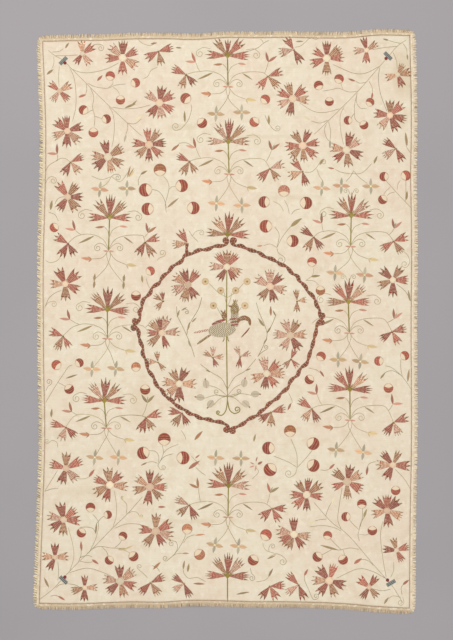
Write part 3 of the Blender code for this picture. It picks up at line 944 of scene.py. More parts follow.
def planned(fan, points):
    """The pixels of places in the plan of one plant, which is stretched to reach from foot to fan."""
    rise = (fan.foot_y - fan.base_y) / PLAN_HEIGHT
    scale = 1 / (PIXEL * 1000)
    lean = (fan.base_x - fan.foot_x) / PLAN_HEIGHT
    return [(fan.foot_x + right * scale + lean * max(up, 0), fan.foot_y - up * rise) for right, up in points]


def nearest(table, place, reach=11.0):
    """The place in a table of flowers that is nearest to the one wished for, if it is within reach."""
    best = min(table, key=lambda row: math.hypot(row[0] - place[0], row[1] - place[1]))
    near = math.hypot(best[0] - place[0], best[1] - place[1]) < reach
    return (best[0], best[1]) if near else place


def lay_petal(prongs, foot):
    """The law of a petal cut into that many points: it rises from that wide a foot, and is one long."""
    notch = 0.55 + 0.02 * prongs

    def law(u, v):
        share = (v + 1) / 2
        body = np.clip(share / (6 / 7), 0, 1)
        column = np.rint((u + 1) * (prongs - 1)).astype(int)
        at_rim = share > 0.99
        is_tip = at_rim & (column % 2 == 0)
        spread = (column - prongs + 1) / prongs
        spread = np.where(column == 0, -1.0, np.where(column == 2 * prongs - 2, 1.0, spread))
        width = foot + (0.96 - foot) * body
        y = body * (notch - 0.03 * spread * spread) + np.where(at_rim, 0.03, 0.0)
        y = np.where(is_tip, 1.0 - 0.09 * spread * spread, y)
        x = spread * width * np.where(is_tip, 1.10, 1.0)
        z = 0.0005 + 0.0009 * np.sqrt(np.clip(1 - 0.9 * spread * spread, 0, 1)) * np.clip(4 * body, 0.4, 1)
        z = np.where(is_tip, 0.0004, z)
        return x, y, z
    return law


def lay_leaf(u, v):
    """The law of a pointed leaf or bud, one long, half of its width one, a little bent."""
    share = (v + 1) / 2
    width = np.sin(np.pi * np.clip(share, 0.02, 0.98) ** 0.85) ** 0.85
    return u * width + 0.5 * share * share, share, 0.0004 + 0.0008 * (1 - u * u) * width


def lay_disc(u, v):
    """The law of a round dome with a radius of one."""
    x, y = u * np.sqrt(1 - v * v / 2), v * np.sqrt(1 - u * u / 2)
    return x, y, 0.0005 + 0.0011 * np.clip(1 - x * x - y * y, 0, 1)


def lay_pad(u, v):
    """The law of a low pad with rounded sides, one long and half of its width one."""
    edge = np.maximum(np.abs(u), np.abs(v))
    return u, (v + 1) / 2, 0.0004 + 0.0012 * (1 - edge ** 4)


SILK_BODY = 0.0016
NARROW_FOOT, BROAD_FOOT = 0.13, 0.42
PETALS = {
    (prongs, foot): pick_up(grid_sheet("petal", 2 * prongs - 2, 7, lay_petal(prongs, foot)), SILK_BODY)
    for prongs in (3, 4) for foot in (NARROW_FOOT, BROAD_FOOT)
}
LEAF = pick_up(grid_sheet("leaf", 4, 8, lay_leaf), SILK_BODY)
DISC = pick_up(grid_sheet("disc", 8, 8, lay_disc), SILK_BODY)
PAD = pick_up(grid_sheet("pad", 6, 8, lay_pad), SILK_BODY)

# The embroidery's dyes, by the letters used in the tables: madder, rose, pale rose, salmon, tan, olive,
# brown, grey-green, cream and yellow
DYES = {
    "D": srgb(150, 51, 32),
    "R": srgb(184, 85, 64),
    "P": srgb(206, 140, 116),
    "S": srgb(210, 138, 96),
    "T": srgb(168, 106, 61),
    "O": srgb(148, 126, 76),
    "B": srgb(150, 122, 84),
    "G": srgb(168, 160, 136),
    "C": srgb(240, 224, 176),
    "Y": srgb(208, 182, 128),
}
OUTLINE_BROWN = srgb(112, 90, 48)
LEAF_BROWN = srgb(150, 108, 82)
BAND_CREAM = srgb(240, 220, 188)
PETAL_HALF_SHARE = 0.295
PETAL_BAND_PITCH = 0.0086
PETAL_SHADE = srgb(104, 52, 38)
MIDRIB_BROWN = srgb(110, 86, 52)
SATIN_PITCH = 0.0030


def petal_finish():
    """Floss laid along the petal and tied down by cross bands, which show most on the paler dyes."""
    finish = Finish("petal silk", 0.5, 0.08)
    across, up, length = finish.threads()
    strands = (across * 30.0).sine()
    bands = finish.waves(up * length * 0.5, PETAL_BAND_PITCH)
    wear = finish.noise(finish.place(), 120.0, 3.0)
    mottle = finish.noise(finish.place(), 210.0, 2.0)
    _, green, _ = finish.axes(finish.colour)
    banding = finish.range(green, 0.04, 0.26, 0.44, 1.0)
    finish.cover(finish.range(bands, -1.0, -0.1, 0.50, 0.0), PETAL_SHADE)
    finish.cover(finish.range(bands, 0.1, 0.8) * banding, BAND_CREAM)
    finish.cover(finish.range(mottle, 0.50, 0.62, 0.0, 0.50), PETAL_SHADE)
    finish.cover(finish.range(strands, -1.0, 0.2, 0.14, 0.0), PETAL_SHADE)
    sides = finish.range(across * across, 0.84, 1.0, 0.0, 0.70)
    points = finish.range(up, 0.80, 0.98, 0.0, 0.62)
    finish.cover((sides + points).clamped(), OUTLINE_BROWN)
    finish.cover(finish.range(wear, 0.56, 0.78, 0.0, 0.45), LINEN_CREAM)
    return finish.finished(strands * 0.35 + bands * -0.5, 0.0005, 0.7)


petal_material = petal_finish()


def beyond(x, y, angle, reach):
    """The place that far from another at an angle."""
    return x + reach * math.cos(math.radians(angle)), y + reach * math.sin(math.radians(angle))


def petals_of(words):
    """The angle and the dye of each petal, from words such as 90D."""
    return [(int(word[:-1]), word[-1]) for word in words.split()]


def petal(work, px, py, angle, length, thread, start, prongs, breadth, foot=NARROW_FOOT):
    """Works one petal outwards from a flower's middle, beginning so far from it."""
    x, y = beyond(*spot(px, py), angle, start)
    width = (length - start) * PETAL_HALF_SHARE * breadth * (1 + 0.06 * work.chance.standard_normal())
    work.lay(PETALS[prongs, foot], x, y, angle, length - start, width, DYES[thread])


# Hanging carnations: flowers of three split petals that hang from an olive cup, at the ends of the arches
HANGING = (
    (158.5, 51.4, "15R 282T 210R"), (186, 74.6, "155R 250T 312D"), (189.4, 161.4, "155R 240T 300T"),
    (70.7, 162, "25R 310S 240D"), (293.6, 49.7, "122R 193P 300D"), (267.8, 76.4, "20R 315T 232R"),
    (269.8, 168.6, "20P 308T 225R"), (302.4, 171.5, "130R 200S 285D"), (395.9, 148.5, "145D 215P 298D"),
    (68, 243.4, "150R 240D 300D"), (145.2, 242, "20R 300T 240D"), (187.5, 243.4, "122R 185S"),
    (63, 336, "160R 245T 300R"), (65.9, 427, "165R 250P 315D"), (313.6, 236.9, "145D 240T 305D"),
    (393.5, 241.2, "20R 305T 215R"), (392, 331.7, "15R 300R 215D"), (311.7, 408.5, "145R 235S 295D"),
    (271.2, 412, "15R 270T 215D"), (393.5, 422.2, "20R 295P 235D"), (146, 417.5, "18R 300T 248D"),
    (182, 413, "170R 235T 295D"), (189.4, 505, "155P 220T 295D"), (272, 508.4, "0R 300R 222R"),
    (150.6, 582.6, "25R 305T 225D"), (183.9, 583.4, "145R 215P 295D"), (269.8, 586.3, "5R 300R 232D"),
    (298.6, 584.8, "135R 215P 292D"),
)
HANGING_REACH, SMALL_HANGING_REACH = 0.073, 0.052
HANGING_START, HANGING_BREADTH = 0.004, 0.88
CUP_RADIUS = 0.0052
CUP_OLIVE = srgb(140, 128, 58)
CUP_YELLOW = srgb(158, 138, 52)

# Tulip buds: two or three slim pointed leaves that part from one base
BUDS = (
    (195.5, 62, "116R 180P"), (268.4, 62, "108D 38R"), (57.4, 153.9, "95D 180P"),
    (195.8, 147.6, "107D 172P"), (271.7, 150, "110D 42T 66G"), (148.2, 232.8, "106D 40T 75G"),
    (75.2, 229.9, "108D 175P"), (321.8, 223, "95D 165P"), (394.2, 228.5, "105D 45P 75G"),
    (69.9, 319.4, "108D 178P"), (394.2, 318.7, "98D 40P 68G"), (147.4, 402.7, "130O 50O 90G"),
    (71.8, 411.7, "108D 176P"), (316.8, 394, "95D 170P"), (392.8, 404, "100D 5P"),
    (198.4, 487.8, "100T 160T"), (270.2, 492.6, "110R 70G 35O"),
)
BUD_LENGTH, INNER_BUD_LENGTH = 0.046, 0.0276
BUD_WIDTH_SHARE = 0.13

# Cross-flowers: four slim leaves, a warm pair across and a grey-green pair upright, round a cream knot. Each
# pair's leaves have their own length and half width
CROSSES = (
    (216, 114, "T"), (241.7, 112.4, "T"), (216.4, 203.4, "S"), (241.8, 205.4, "S"), (99.9, 189.4, "R"),
    (127, 188.5, "T"), (321.8, 188.2, "S"), (341.3, 185.8, "R"), (370.8, 186.3, "T"), (335, 272.8, "S"),
    (364.6, 275, "R"), (92, 369, "S"), (115.8, 368.6, "T"), (338, 359.7, "T"), (360.3, 361.5, "T"),
    (94.8, 457.4, "T"), (118.4, 457.4, "S"), (215.7, 457.7, "S"), (241, 458.4, "T"), (336, 449.8, "T"),
    (363.2, 452.2, "S"), (214.7, 545, "T"), (238.5, 546.3, "S"),
)
CROSS_ARM, CROSS_UPRIGHT = (0.03944, 0.00884), (0.03672, 0.00646)
CROSS_KNOT_RADIUS = 0.0045

# Two pairs of brown leaves, one up and one down: their places, and each leaf's length and half width
BROWN_PAIRS = ((94.4, 281), (123.8, 281.8))
BROWN_LEAF = (0.033, 0.0058)

fans, trunks = Needlework(), Needlework()
leaves = Needlework()


def leaf(px, py, angle, length, dye, width):
    """Works one pointed leaf from its base in pixels. Half its width is given as a share of its length."""
    leaves.lay(LEAF, *spot(px, py), angle, length, length * width, DYES[dye])


def angle_between(start, end):
    """The angle and the length in metres from one pixel to another."""
    right, up = end[0] - start[0], start[1] - end[1]
    return math.degrees(math.atan2(up, right)), math.hypot(right, up) * PIXEL


def work_plant(fan):
    """Works one fan plant's stems and leaves by the plan; its trunk, its fan and its flowers come apart."""
    for points in PLAN_LEAVES:
        stem(stems, planned(fan, points))
    for (start, end), dye in zip(PLAN_LEAF_TIPS, "TP"):
        start, end = planned(fan, (start, end))
        angle, length = angle_between(start, end)
        leaf(*start, angle, length * 0.95, dye, 0.13)
    for side, (arch, flower, bud) in enumerate(zip(PLAN_ARCHES, HANGING_WISH, BUD_WISH)):
        places = planned(fan, (*arch, flower, bud))
        arch, flower, bud = places[:-2], nearest(HANGING, places[-2]), nearest(BUDS, places[-1])
        over = ((arch[-1][0] + flower[0]) / 2, arch[-1][1] + 0.30 * (flower[1] - arch[-1][1]))
        stem(stems, [*arch, over, flower])
        fork = over if side else arch[-1]
        stem(stems, [fork, ((fork[0] + bud[0]) / 2, fork[1] * 0.6 + bud[1] * 0.4), bud])
        start, end = planned(fan, PLAN_LANCES[side])
        angle, length = angle_between(start, end)
        leaf(*start, angle, length, "O", 0.065)
        stem(stems, planned(fan, PLAN_SPIRALS[side]), -SPIRAL_RADIUS if side else SPIRAL_RADIUS)
        crossing = planned(fan, (*PLAN_CROSSING[side], CROSS_WISH[side]))
        stem(stems, [*crossing[:3], nearest(CROSSES, crossing[3])])
        sprig = planned(fan, PLAN_LOW_SPRIGS[side])
        stem(stems, sprig)
        angle, length = angle_between(sprig[-2], sprig[-1])
        long_dye, short_dye = ("Y", "Y") if side else ("S", "T")
        leaf(*sprig[-1], -2 if side else 178, 0.047, long_dye, 0.16)
        for turn in (38, -38):
            leaf(*sprig[-1], angle + turn, 0.021, short_dye, 0.12)
    for angle in (0, 180):
        leaf(fan.foot_x, fan.foot_y + 0.3, angle, 0.025, "P", 0.15)


def above_fan(fan, side, points):
    """The pixels of places so far to one side of a fan's base and above it."""
    return [(fan.base_x + side * reach, fan.base_y - rise) for reach, rise in points]


for fan in FANS:
    for angle, reach, thread in zip(FAN_ANGLES, FAN_REACHES, fan.threads):
        angle += 2.5 * fans.chance.standard_normal()
        reach = min(reach, (fan.base_y - HEAD_EDGE) * PIXEL / max(math.sin(math.radians(angle)), 0.5))
        prongs = 4 if round(angle) % 3 == 0 else 3
        petal(fans, fan.base_x, fan.base_y, angle, reach, thread, FAN_PETAL_START, prongs, FAN_BREADTH)
    cup_x, cup_y = spot(fan.base_x, fan.base_y)
    for angle in CUP_ANGLES:
        trunks.lay(LEAF, cup_x, cup_y, angle, SEPAL_LENGTH, SEPAL_HALF_WIDTH, CUP_OLIVE, lift=0.0006)
    trunks.lay(LEAF, cup_x, cup_y - CUP_DROP, 90, CUP_HEIGHT, CUP_HALF_WIDTH, CUP_YELLOW, lift=0.0008)
    trunk = [(fan.foot_x, fan.foot_y), (fan.base_x, fan.base_y)]
    stem(trunks, trunk, 0, TRUNK_OLIVE, TRUNK_HALF_WIDTH, TRUNK_HEIGHT)
    if fan.foot_y - fan.base_y > SHORTEST_PLANT and fan.foot_y < LOWEST_PLANT_FOOT:
        work_plant(fan)
    if fan.curls:
        for side in (-1, 1):
            stem(stems, above_fan(fan, side, FAN_HOOKS[side]), -side * HOOK_RADIUS)
    if fan.curls > 1:
        for side in (-1, 1):
            stem(stems, above_fan(fan, side, TOP_HOOK), -side * TOP_HOOK_RADIUS)
fans.finish("fan_petals", petal_material)
trunks.finish("fan_trunks", silk_cord_finish("trunk silk"))

# Round carnations: flowers of four to eight split petals round a cream or peach middle. The corner ones are
# smaller, and have four petals each. Each row: the place, and the angle and dye of each petal
ROUND = (
    (122.6, 57.9, "88D 28R 330S 270R 182R 135P"), (67.3, 131, "95R 18D 318S 268D 203S 140R"),
    (159.3, 103, "80D 33R 330R 280P 232D 143P"), (107.9, 157, "103D 33T 332T 285S 220D 175S"),
    (149, 144.8, "97R 55T 8D 318R 270D 222T 173R"), (67.8, 196.9, "125R 55T 0D 305T 235D"),
    (326.7, 58.4, "90D 38T 3R 270T 200R 148R"), (389.9, 115.3, "90T 42R 345D 295D 232P 172R"),
    (292.6, 98.7, "108T 42R 355S 260D 205P 153R"), (346.6, 150, "78D 38P 338D 277T 220D 170S"),
    (302.7, 145.6, "68D 12R 320R 275T 225T 183R 125T"), (65.2, 284, "115D 42R 335R 272T 180S"),
    (392.8, 280, "137D 57T 0R 270D 203T"), (65.9, 468.3, "88T 27R 312P 253D 163R"),
    (392.8, 464.9, "130D 65T 357R 243D 180S"), (110, 485, "98T 48R 355S 255D 208T 157R"),
    (149.8, 487, "90D 45T 0R 315T 263D 193T 145S"), (63.7, 519.7, "102D 43R 357R 268T 216D 165P"),
    (120.2, 581.2, "93D 38S 340R 285T 222D 172P"), (155.6, 531.2, "88T 28R 343P 298D 233T 172R"),
    (346.9, 481.8, "78D 30S 332R 272T 203R 140T"), (306.7, 494.7, "83D 38T 352R 270D 224R 180R 128T"),
    (387, 510.6, "90R 43D 338S 275D 195S 137D"), (329.3, 580.5, "130D 73R 342D 290T 232D 180S"),
    (294, 534.4, "92D 352S 305D 246T 207R 165P"),
)
MEDALLION_ROUND = (
    (227, 267, "128R 90T 52R 178P 238D 302D 338S"), (188.2, 284.7, "108D 55R 150S 300D 255T 203P"),
    (162, 333, "102D 72P 138T 180R 222T 288D 5P"), (179.2, 383.8, "118T 66D 0S 270D 222S 172S"),
    (270.2, 286.5, "92P 45D 345P 285D 230T 150P"), (290.4, 335.5, "64T 112P 5S 175P 240P 302D"),
    (266.6, 373.7, "102P 44R 2S 200S 262D 308R"),
)
CORNER_ROUND = (
    (82.5, 53.6, "95S 35R 235D 305P"), (59.4, 91, "140R 30S 315R 235P"),
    (366.5, 50.4, "105D 35S 268R 183P"), (397.8, 74.7, "65T 12T 290D 195S"),
    (55, 557.3, "90D 5S 243D 175S"), (84.7, 587.7, "90D 2S 268D 195T"),
    (396.4, 550.2, "105T 18R 298R 175D"), (369, 587, "140R 55D 310T 237D"),
)
ROUND_REACH, CORNER_REACH, EDGE_REACH = 0.082, 0.064, 0.080
ROUND_MIDDLE, EDGE_MIDDLE, CORNER_MIDDLE = 0.0166, 0.0135, 0.0100
MEDALLION_MIDDLE = ROUND_MIDDLE * 0.9
ROUND_BREADTH, FULL_BREADTH, PETAL_START = 1.02, 0.8976, 1.04
# The flowers beyond these two px, by the sides of the cloth, are a little smaller
LEFT_EDGE_FLOWERS, RIGHT_EDGE_FLOWERS = 70, 386
MIDDLE_SHADE, MIDDLE_RIM = srgb(178, 128, 92), srgb(186, 130, 100)
MIDDLE_DYES = (srgb(238, 222, 190), srgb(234, 202, 170), srgb(236, 210, 176))


def middle_finish():
    """A flower's middle: floss wound in rings, with a darker rim."""
    finish = Finish("flower middle silk", 0.5, 0.3)
    across, up, _ = finish.threads()
    radius = (across * across + up * up) ** 0.5
    rings = (radius * 26.0).sine()
    finish.cover(finish.range(rings, -1.0, 0.0, 0.25, 0.0), MIDDLE_SHADE)
    finish.cover(finish.range(radius, 0.86, 0.98, 0.0, 0.35), MIDDLE_RIM)
    return finish.finished(rings, 0.0004, 0.7)


carnations, middles = Needlework(), Needlework()


def work_round(number, flower, reach, middle):
    """Works one flower's petals, which stand a little off its middle, and then the middle."""
    px, py, words = flower
    petals = petals_of(words)
    breadth = ROUND_BREADTH if len(petals) < 7 else FULL_BREADTH
    start = middle * PETAL_START
    for angle, thread in petals:
        prongs = 4 if (angle + number) % 4 == 0 else 3
        length = reach * (1 + 0.04 * carnations.chance.standard_normal())
        petal(carnations, px, py, angle, length, thread, start, prongs, breadth, BROAD_FOOT)
    middles.lay(DISC, *spot(px, py), 90, middle, middle, MIDDLE_DYES[number % 3], lift=0.0004)


for number, flower in enumerate(ROUND):
    if LEFT_EDGE_FLOWERS <= flower[0] <= RIGHT_EDGE_FLOWERS:
        work_round(number, flower, ROUND_REACH, ROUND_MIDDLE)
    else:
        work_round(number, flower, EDGE_REACH, EDGE_MIDDLE)
for number, flower in enumerate(MEDALLION_ROUND):
    work_round(number, flower, ROUND_REACH, MEDALLION_MIDDLE)
for number, flower in enumerate(CORNER_ROUND):
    work_round(number, flower, CORNER_REACH, CORNER_MIDDLE)
carnations.finish("round_carnations", petal_material)
middles.finish("carnation_middles", middle_finish())

# Hanging carnations: three petals under an olive cup, at the arches' ends and, smaller, inside the ring
SMALL_HANGING = (
    (163.2, 301, "97D 150T 228T"), (297.1, 301, "95T 8S 268T"), (157.8, 362, "95T 178S 310T"),
    (291, 359.2, "68R 228T 312R"), (212.7, 357.2, "88P 150T 292D 2S"), (240.2, 356.6, "112P 20P 262D"),
)
hanging = Needlework()
for rows, reach in ((HANGING, HANGING_REACH), (SMALL_HANGING, SMALL_HANGING_REACH)):
    for px, py, words in rows:
        for angle, thread in petals_of(words):
            length = reach * (1 + 0.05 * hanging.chance.standard_normal())
            petal(hanging, px, py, angle, length, thread, HANGING_START, 3 + (angle % 2), HANGING_BREADTH)
        hanging.lay(DISC, *spot(px, py), 90, CUP_RADIUS, CUP_RADIUS, CUP_OLIVE, lift=0.0004)
hanging.finish("hanging_carnations", petal_material)

# Tulip buds and cross-flowers: slim leaves of floss in pairs, with small cream knots
slim = Needlework()
for px, py, words in BUDS:
    for angle, thread in petals_of(words):
        length = INNER_BUD_LENGTH if thread == "G" else BUD_LENGTH
        slim.lay(LEAF, *spot(px, py), angle, length, length * BUD_WIDTH_SHARE, DYES[thread])
for px, py, thread in CROSSES:
    x, y = spot(px, py)
    tilt = 4 * slim.chance.standard_normal()
    paler = tuple(0.66 * dye + 0.34 * cream for dye, cream in zip(DYES[thread], DYES["C"]))
    for angle, (length, half_width), dye in (
        (0, CROSS_ARM, paler), (180, CROSS_ARM, paler),
        (90, CROSS_UPRIGHT, DYES["G"]), (270, CROSS_UPRIGHT, DYES["G"]),
    ):
        slim.lay(LEAF, x, y, angle + tilt, length, half_width, dye)
    slim.lay(DISC, x, y, 90, CROSS_KNOT_RADIUS, CROSS_KNOT_RADIUS, DYES["C"], lift=0.0006)
for px, py in BROWN_PAIRS:
    for angle in (90, 270):
        slim.lay(LEAF, *spot(px, py), angle, *BROWN_LEAF, DYES["B"])


def leaf_finish():
    """Pointed leaves: satin stitch slanting to a split middle line."""
    finish = Finish("leaf silk", 0.5, 0.3)
    across, up, length = finish.threads()
    slant = finish.waves(up * length * 0.5, SATIN_PITCH, across * across * 3.0)
    ridge = finish.range(across * across, 0.0, 0.10)
    _, green, _ = finish.axes(finish.colour)
    finish.cover(finish.range(green, 0.05, 0.22, 0.42, 0.0), LEAF_BROWN)
    finish.cover(finish.range(slant, -0.2, 1.0, 0.0, 0.30), BAND_CREAM)
    finish.cover((1 - ridge) * 0.25, MIDRIB_BROWN)
    finish.cover(finish.range(across * across, 0.70, 0.95, 0.0, 0.35), OUTLINE_BROWN)
    return finish.finished(slant * 0.6 + ridge * 0.4, 0.0004, 0.7)


leaf_material = leaf_finish()
slim.finish("buds_and_cross_flowers", leaf_material)

# Leaves: single pointed leaves along the stems, by the enlarged part that they were read in. Each row: the
# base, the angle, the length in millimetres, the dye, and half the width as a share of the length, where it
# is not the usual one
USUAL_WIDTH_SHARE = 0.14
LEAVES = (
    ("foot left", (1400, 892, 8, 44, "S", 0.09), (1085, 652, 4, 34, "R", 0.14),
     (1045, 1180, 48, 46, "T", 0.13), (1298, 1180, 84, 40, "B", 0.12), (1385, 1300, 0, 52, "T", 0.09),
     (990, 275, 210, 30, "B", 0.12), (1395, 85, 52, 54, "T", 0.13), (1345, 330, 40, 62, "R", 0.13),
     (1400, 240, 42, 26, "R", 0.14), (1290, 1046, 4, 32, "P", 0.12)),
    ("foot right", (1012, 1048, 40, 42, "R", 0.17), (885, 940, 166, 84, "O", 0.06),
     (1110, 352, 86, 42, "D", 0.13), (818, 306, 48, 34, "R", 0.16), (622, 1142, 66, 34, "R", 0.16),
     (342, 1150, 66, 42, "B", 0.12), (90, 1288, 12, 60, "O", 0.07), (332, 1010, 24, 40, "O", 0.09),
     (1394, 1214, 44, 36, "R", 0.16), (1248, 1362, 60, 36, "B", 0.14), (242, 248, 76, 24, "R", 0.12),
     (258, 270, 40, 24, "D", 0.24), (230, 268, 160, 22, "P", 0.14), (232, 280, 200, 24, "P", 0.14),
     (244, 276, 262, 28, "P", 0.12)),
    ("side left", (245, 1182, 20, 56, "O", 0.07)),
    ("side right", (648, 655, 102, 50, "B", 0.10), (632, 1205, 86, 58, "B", 0.09),
     (446, 1184, 55, 32, "O", 0.14)),
    ("head left", (278, 222, 62, 30, "B", 0.16), (132, 428, 42, 38, "B", 0.15),
     (528, 478, 52, 34, "R", 0.17), (382, 606, 24, 36, "R", 0.16), (745, 690, 24, 52, "O", 0.10),
     (790, 680, 48, 40, "O", 0.10), (1215, 800, 95, 50, "O", 0.10), (1110, 1025, 42, 44, "R", 0.13),
     (868, 1212, 35, 34, "O", 0.15), (1078, 1470, 42, 66, "B", 0.08), (765, 1235, 78, 54, "T", 0.07),
     (775, 1230, 62, 44, "O", 0.08)),
    ("foot left", (500, 398, 58, 42, "R", 0.15), (438, 1022, 98, 42, "R", 0.14),
     (525, 1098, -30, 36, "R", 0.16), (745, 1015, 8, 40, "Y", 0.12), (800, 1012, 26, 44, "Y", 0.08),
     (158, 1330, 118, 48, "B", 0.11), (240, 1408, -28, 36, "R", 0.13), (558, 880, 88, 50, "O", 0.08)),
    ("TL", (1215, 330, 0, 26, "O"), (895, 1220, 55, 36, "Y"), (350, 1450, 85, 44, "O"),
     (1040, 305, 15, 30, "T"), (935, 830, 35, 34, "C"), (870, 930, 260, 34, "G")),
    ("TR", (1115, 278, 170, 26, "O"), (1243, 375, 280, 26, "O"), (1005, 640, 265, 32, "R"),
     (885, 560, 165, 34, "R"), (290, 860, 95, 42, "O"), (1015, 1130, 70, 38, "O"),
     (740, 1165, 175, 30, "T"), (1240, 1380, 90, 40, "O")),
    ("head right", (1428, 985, 100, 60, "B", 0.10), (556, 170, 5, 34, "O", 0.10)),
    ("TR", (640, 1140, 60, 34, "O"), (575, 830, 150, 34, "C"), (712, 970, 270, 34, "G")),
    ("ML", (985, 480, 100, 34, "O"), (355, 1410, 90, 38, "O")),
    ("MR", (640, 1090, 310, 34, "D"), (440, 1315, 250, 34, "D"), (580, 440, 10, 42, "O"),
     (245, 225, 190, 26, "S"), (440, 95, 42, 62, "O")),
    ("BL", (860, 515, 110, 30, "C"), (955, 615, 340, 30, "C"), (1297, 1000, 85, 38, "O")),
    ("BR", (945, 625, 75, 40, "O"), (185, 100, 80, 34, "O"), (725, 525, 70, 30, "C"),
     (605, 650, 200, 30, "C")),
)
for part, *rows in LEAVES:
    for x, y, angle, length, dye, *width in rows:
        (place,) = seen(part, (x, y))
        leaf(*place, angle, length * 0.001, dye, *(width or (USUAL_WIDTH_SHARE,)))
leaves.finish("leaves", leaf_material)
stems.finish("stems", silk_cord_finish("stem silk"))

# Fruits: round ones in the corner sprays and on sprigs, each a dark crescent round a pale heart
FRUITS = (
    (110.3, 76, "80R"), (135.4, 82.8, "20R"), (120.5, 100, "270R"), (83.5, 110, "150D"),
    (106.4, 119, "20D"), (93.4, 132.5, "270R"), (339, 79, "70R"), (318.5, 85.5, "110D"),
    (329.3, 101.6, "270D"), (370, 102.3, "60R"), (348, 120.4, "180D"), (363.9, 125, "300D"),
    (90.5, 507.4, "90D"), (107.9, 514.6, "10D"), (81.4, 532.7, "240D"), (123, 536, "60D"),
    (109.3, 560.2, "225D"), (133.5, 556.3, "310D"), (361.8, 504, "90D"), (345.9, 516.7, "180D"),
    (372.3, 530.5, "270D"), (327.6, 535.4, "80R"), (317.5, 556.7, "225D"), (343, 559.6, "300D"),
    (150.3, 271, "30R"), (136, 295.8, "270D"), (312, 262, "80R"), (320.4, 290.5, "270T"), (136, 367, "90S"),
    (145.2, 389.6, "270D"), (321, 356.4, "60R"), (309.4, 379.5, "230D"), (54.3, 227.5, "215R"),
    (56.5, 365, "140R"), (79.3, 362.8, "30D"), (69.2, 389, "300D"), (384, 176.6, "180D"),
    (405.7, 175.6, "20R"), (382.7, 199.6, "225D"), (378.8, 361, "180R"), (404.6, 355.7, "30R"),
    (388.4, 388, "270R"), (395.6, 490.4, "270R"),
)
BIG_FRUITS = (
    (160, 170, "90T"), (145.5, 190, "190D"), (181.7, 185.8, "10D"), (147.7, 209, "180D"),
    (193.3, 208, "0D"), (283.9, 191, "90P"), (264.2, 202, "180D"), (306, 203, "0D"), (265.9, 226.3, "180D"),
    (292.6, 241, "0D"), (164.3, 439.3, "90D"), (143.3, 453, "200D"), (183, 457.8, "0D"), (290, 431, "90T"),
    (268.4, 448, "180D"), (313, 443.6, "330D"), (270.2, 469.5, "225D"), (313.2, 465.5, "330D"),
)
SPRIG_FRUITS = (
    (185.8, 98.5, "140R"), (202, 123, "310D"), (265.2, 99.5, "50R"), (254.4, 122, "225R"),
    (187.2, 529, "90S"), (199.5, 554.4, "310S"), (266.0, 535, "60R"), (253.2, 560, "235D"),
)
FRUIT_RADIUS, BIG_FRUIT_RADIUS, SPRIG_FRUIT_RADIUS = 0.0215, 0.0285, 0.0248
FRUIT_KINDS = ((FRUITS, FRUIT_RADIUS), (BIG_FRUITS, BIG_FRUIT_RADIUS), (SPRIG_FRUITS, SPRIG_FRUIT_RADIUS))
HEART_OFFSET = 1.16
HEART_CREAM, HEART_ROSE = srgb(228, 210, 180), srgb(208, 164, 130)
COUCHING_PEACH, FRUIT_MOTTLE = srgb(216, 170, 136), srgb(128, 74, 56)
FRUIT_SHADE, FRUIT_RIM = srgb(92, 52, 38), srgb(150, 104, 74)


def fruit_finish():
    """A dark crescent in laid floss with couching lines, round a cream heart striped in rose."""
    finish = Finish("fruit silk", 0.5, 0.08)
    across, up, _ = finish.threads()
    below = up + HEART_OFFSET
    heart = finish.range(across * across * 0.9 + below * below, 1.12, 1.26, 1.0, 0.0)
    rows = (across * 24.0).sine()
    lines = (up * 15.0).sine()
    mottle = finish.noise(finish.place(), 190.0, 2.0)
    finish.cover(finish.range(lines, 0.0, 0.9, 0.0, 0.46), COUCHING_PEACH)
    finish.cover(finish.range(mottle, 0.38, 0.62, 0.0, 0.58), FRUIT_MOTTLE)
    finish.cover(finish.range(rows, -1.0, 0.0, 0.24, 0.0), FRUIT_SHADE)
    finish.cover(heart, finish.mix(finish.range(rows, -1.0, 0.2, 0.30, 0.0), HEART_CREAM, HEART_ROSE))
    finish.cover(finish.range(across * across + up * up, 0.84, 0.97, 0.0, 0.5), FRUIT_RIM)
    return finish.finished(rows * 0.5 + lines * 0.3, 0.0005, 0.7)


fruits = Needlework()
for rows, radius in FRUIT_KINDS:
    for px, py, words in rows:
        ((angle, thread),) = petals_of(words)
        size = radius * (1 + 0.05 * fruits.chance.standard_normal())
        fruits.lay(DISC, *spot(px, py), angle, size, size, DYES[thread], lift=0.0003)
fruits.finish("fruits", fruit_finish())

# Corner ties: a padded bar in slate and cream silk across each spray's stem, with a madder knot beside it.
# Each row: the bar's middle and angle, and the knot's place
TIES = (
    (63.4, 60.9, 45, 65, 63), (388, 56, 135, 386, 58.5), (63.5, 580, -45, 65, 577),
    (391, 583, 30, 387.5, 580),
)
TIE_LENGTH, TIE_HALF_WIDTH = 0.044, 0.009
SLATE = srgb(58, 76, 82)
KNOT_MADDER = srgb(132, 30, 44)
KNOT_RADIUS = 0.0075
TIE_CREAM, TIE_EDGE = srgb(222, 212, 190), srgb(228, 216, 190)


def tie_finish():
    """Bars of slate silk between thin cream ones, with a pale edge."""
    finish = Finish("tie silk", 0.5, 0.3)
    across, _, _ = finish.threads()
    bars = (across * 9.5).sine()
    finish.cover(finish.range(bars, 0.25, 0.75, 0.0, 0.62), TIE_CREAM)
    finish.cover(finish.range(across * across, 0.80, 0.95, 0.0, 0.8), TIE_EDGE)
    return finish.finished(bars, 0.0005, 0.7)


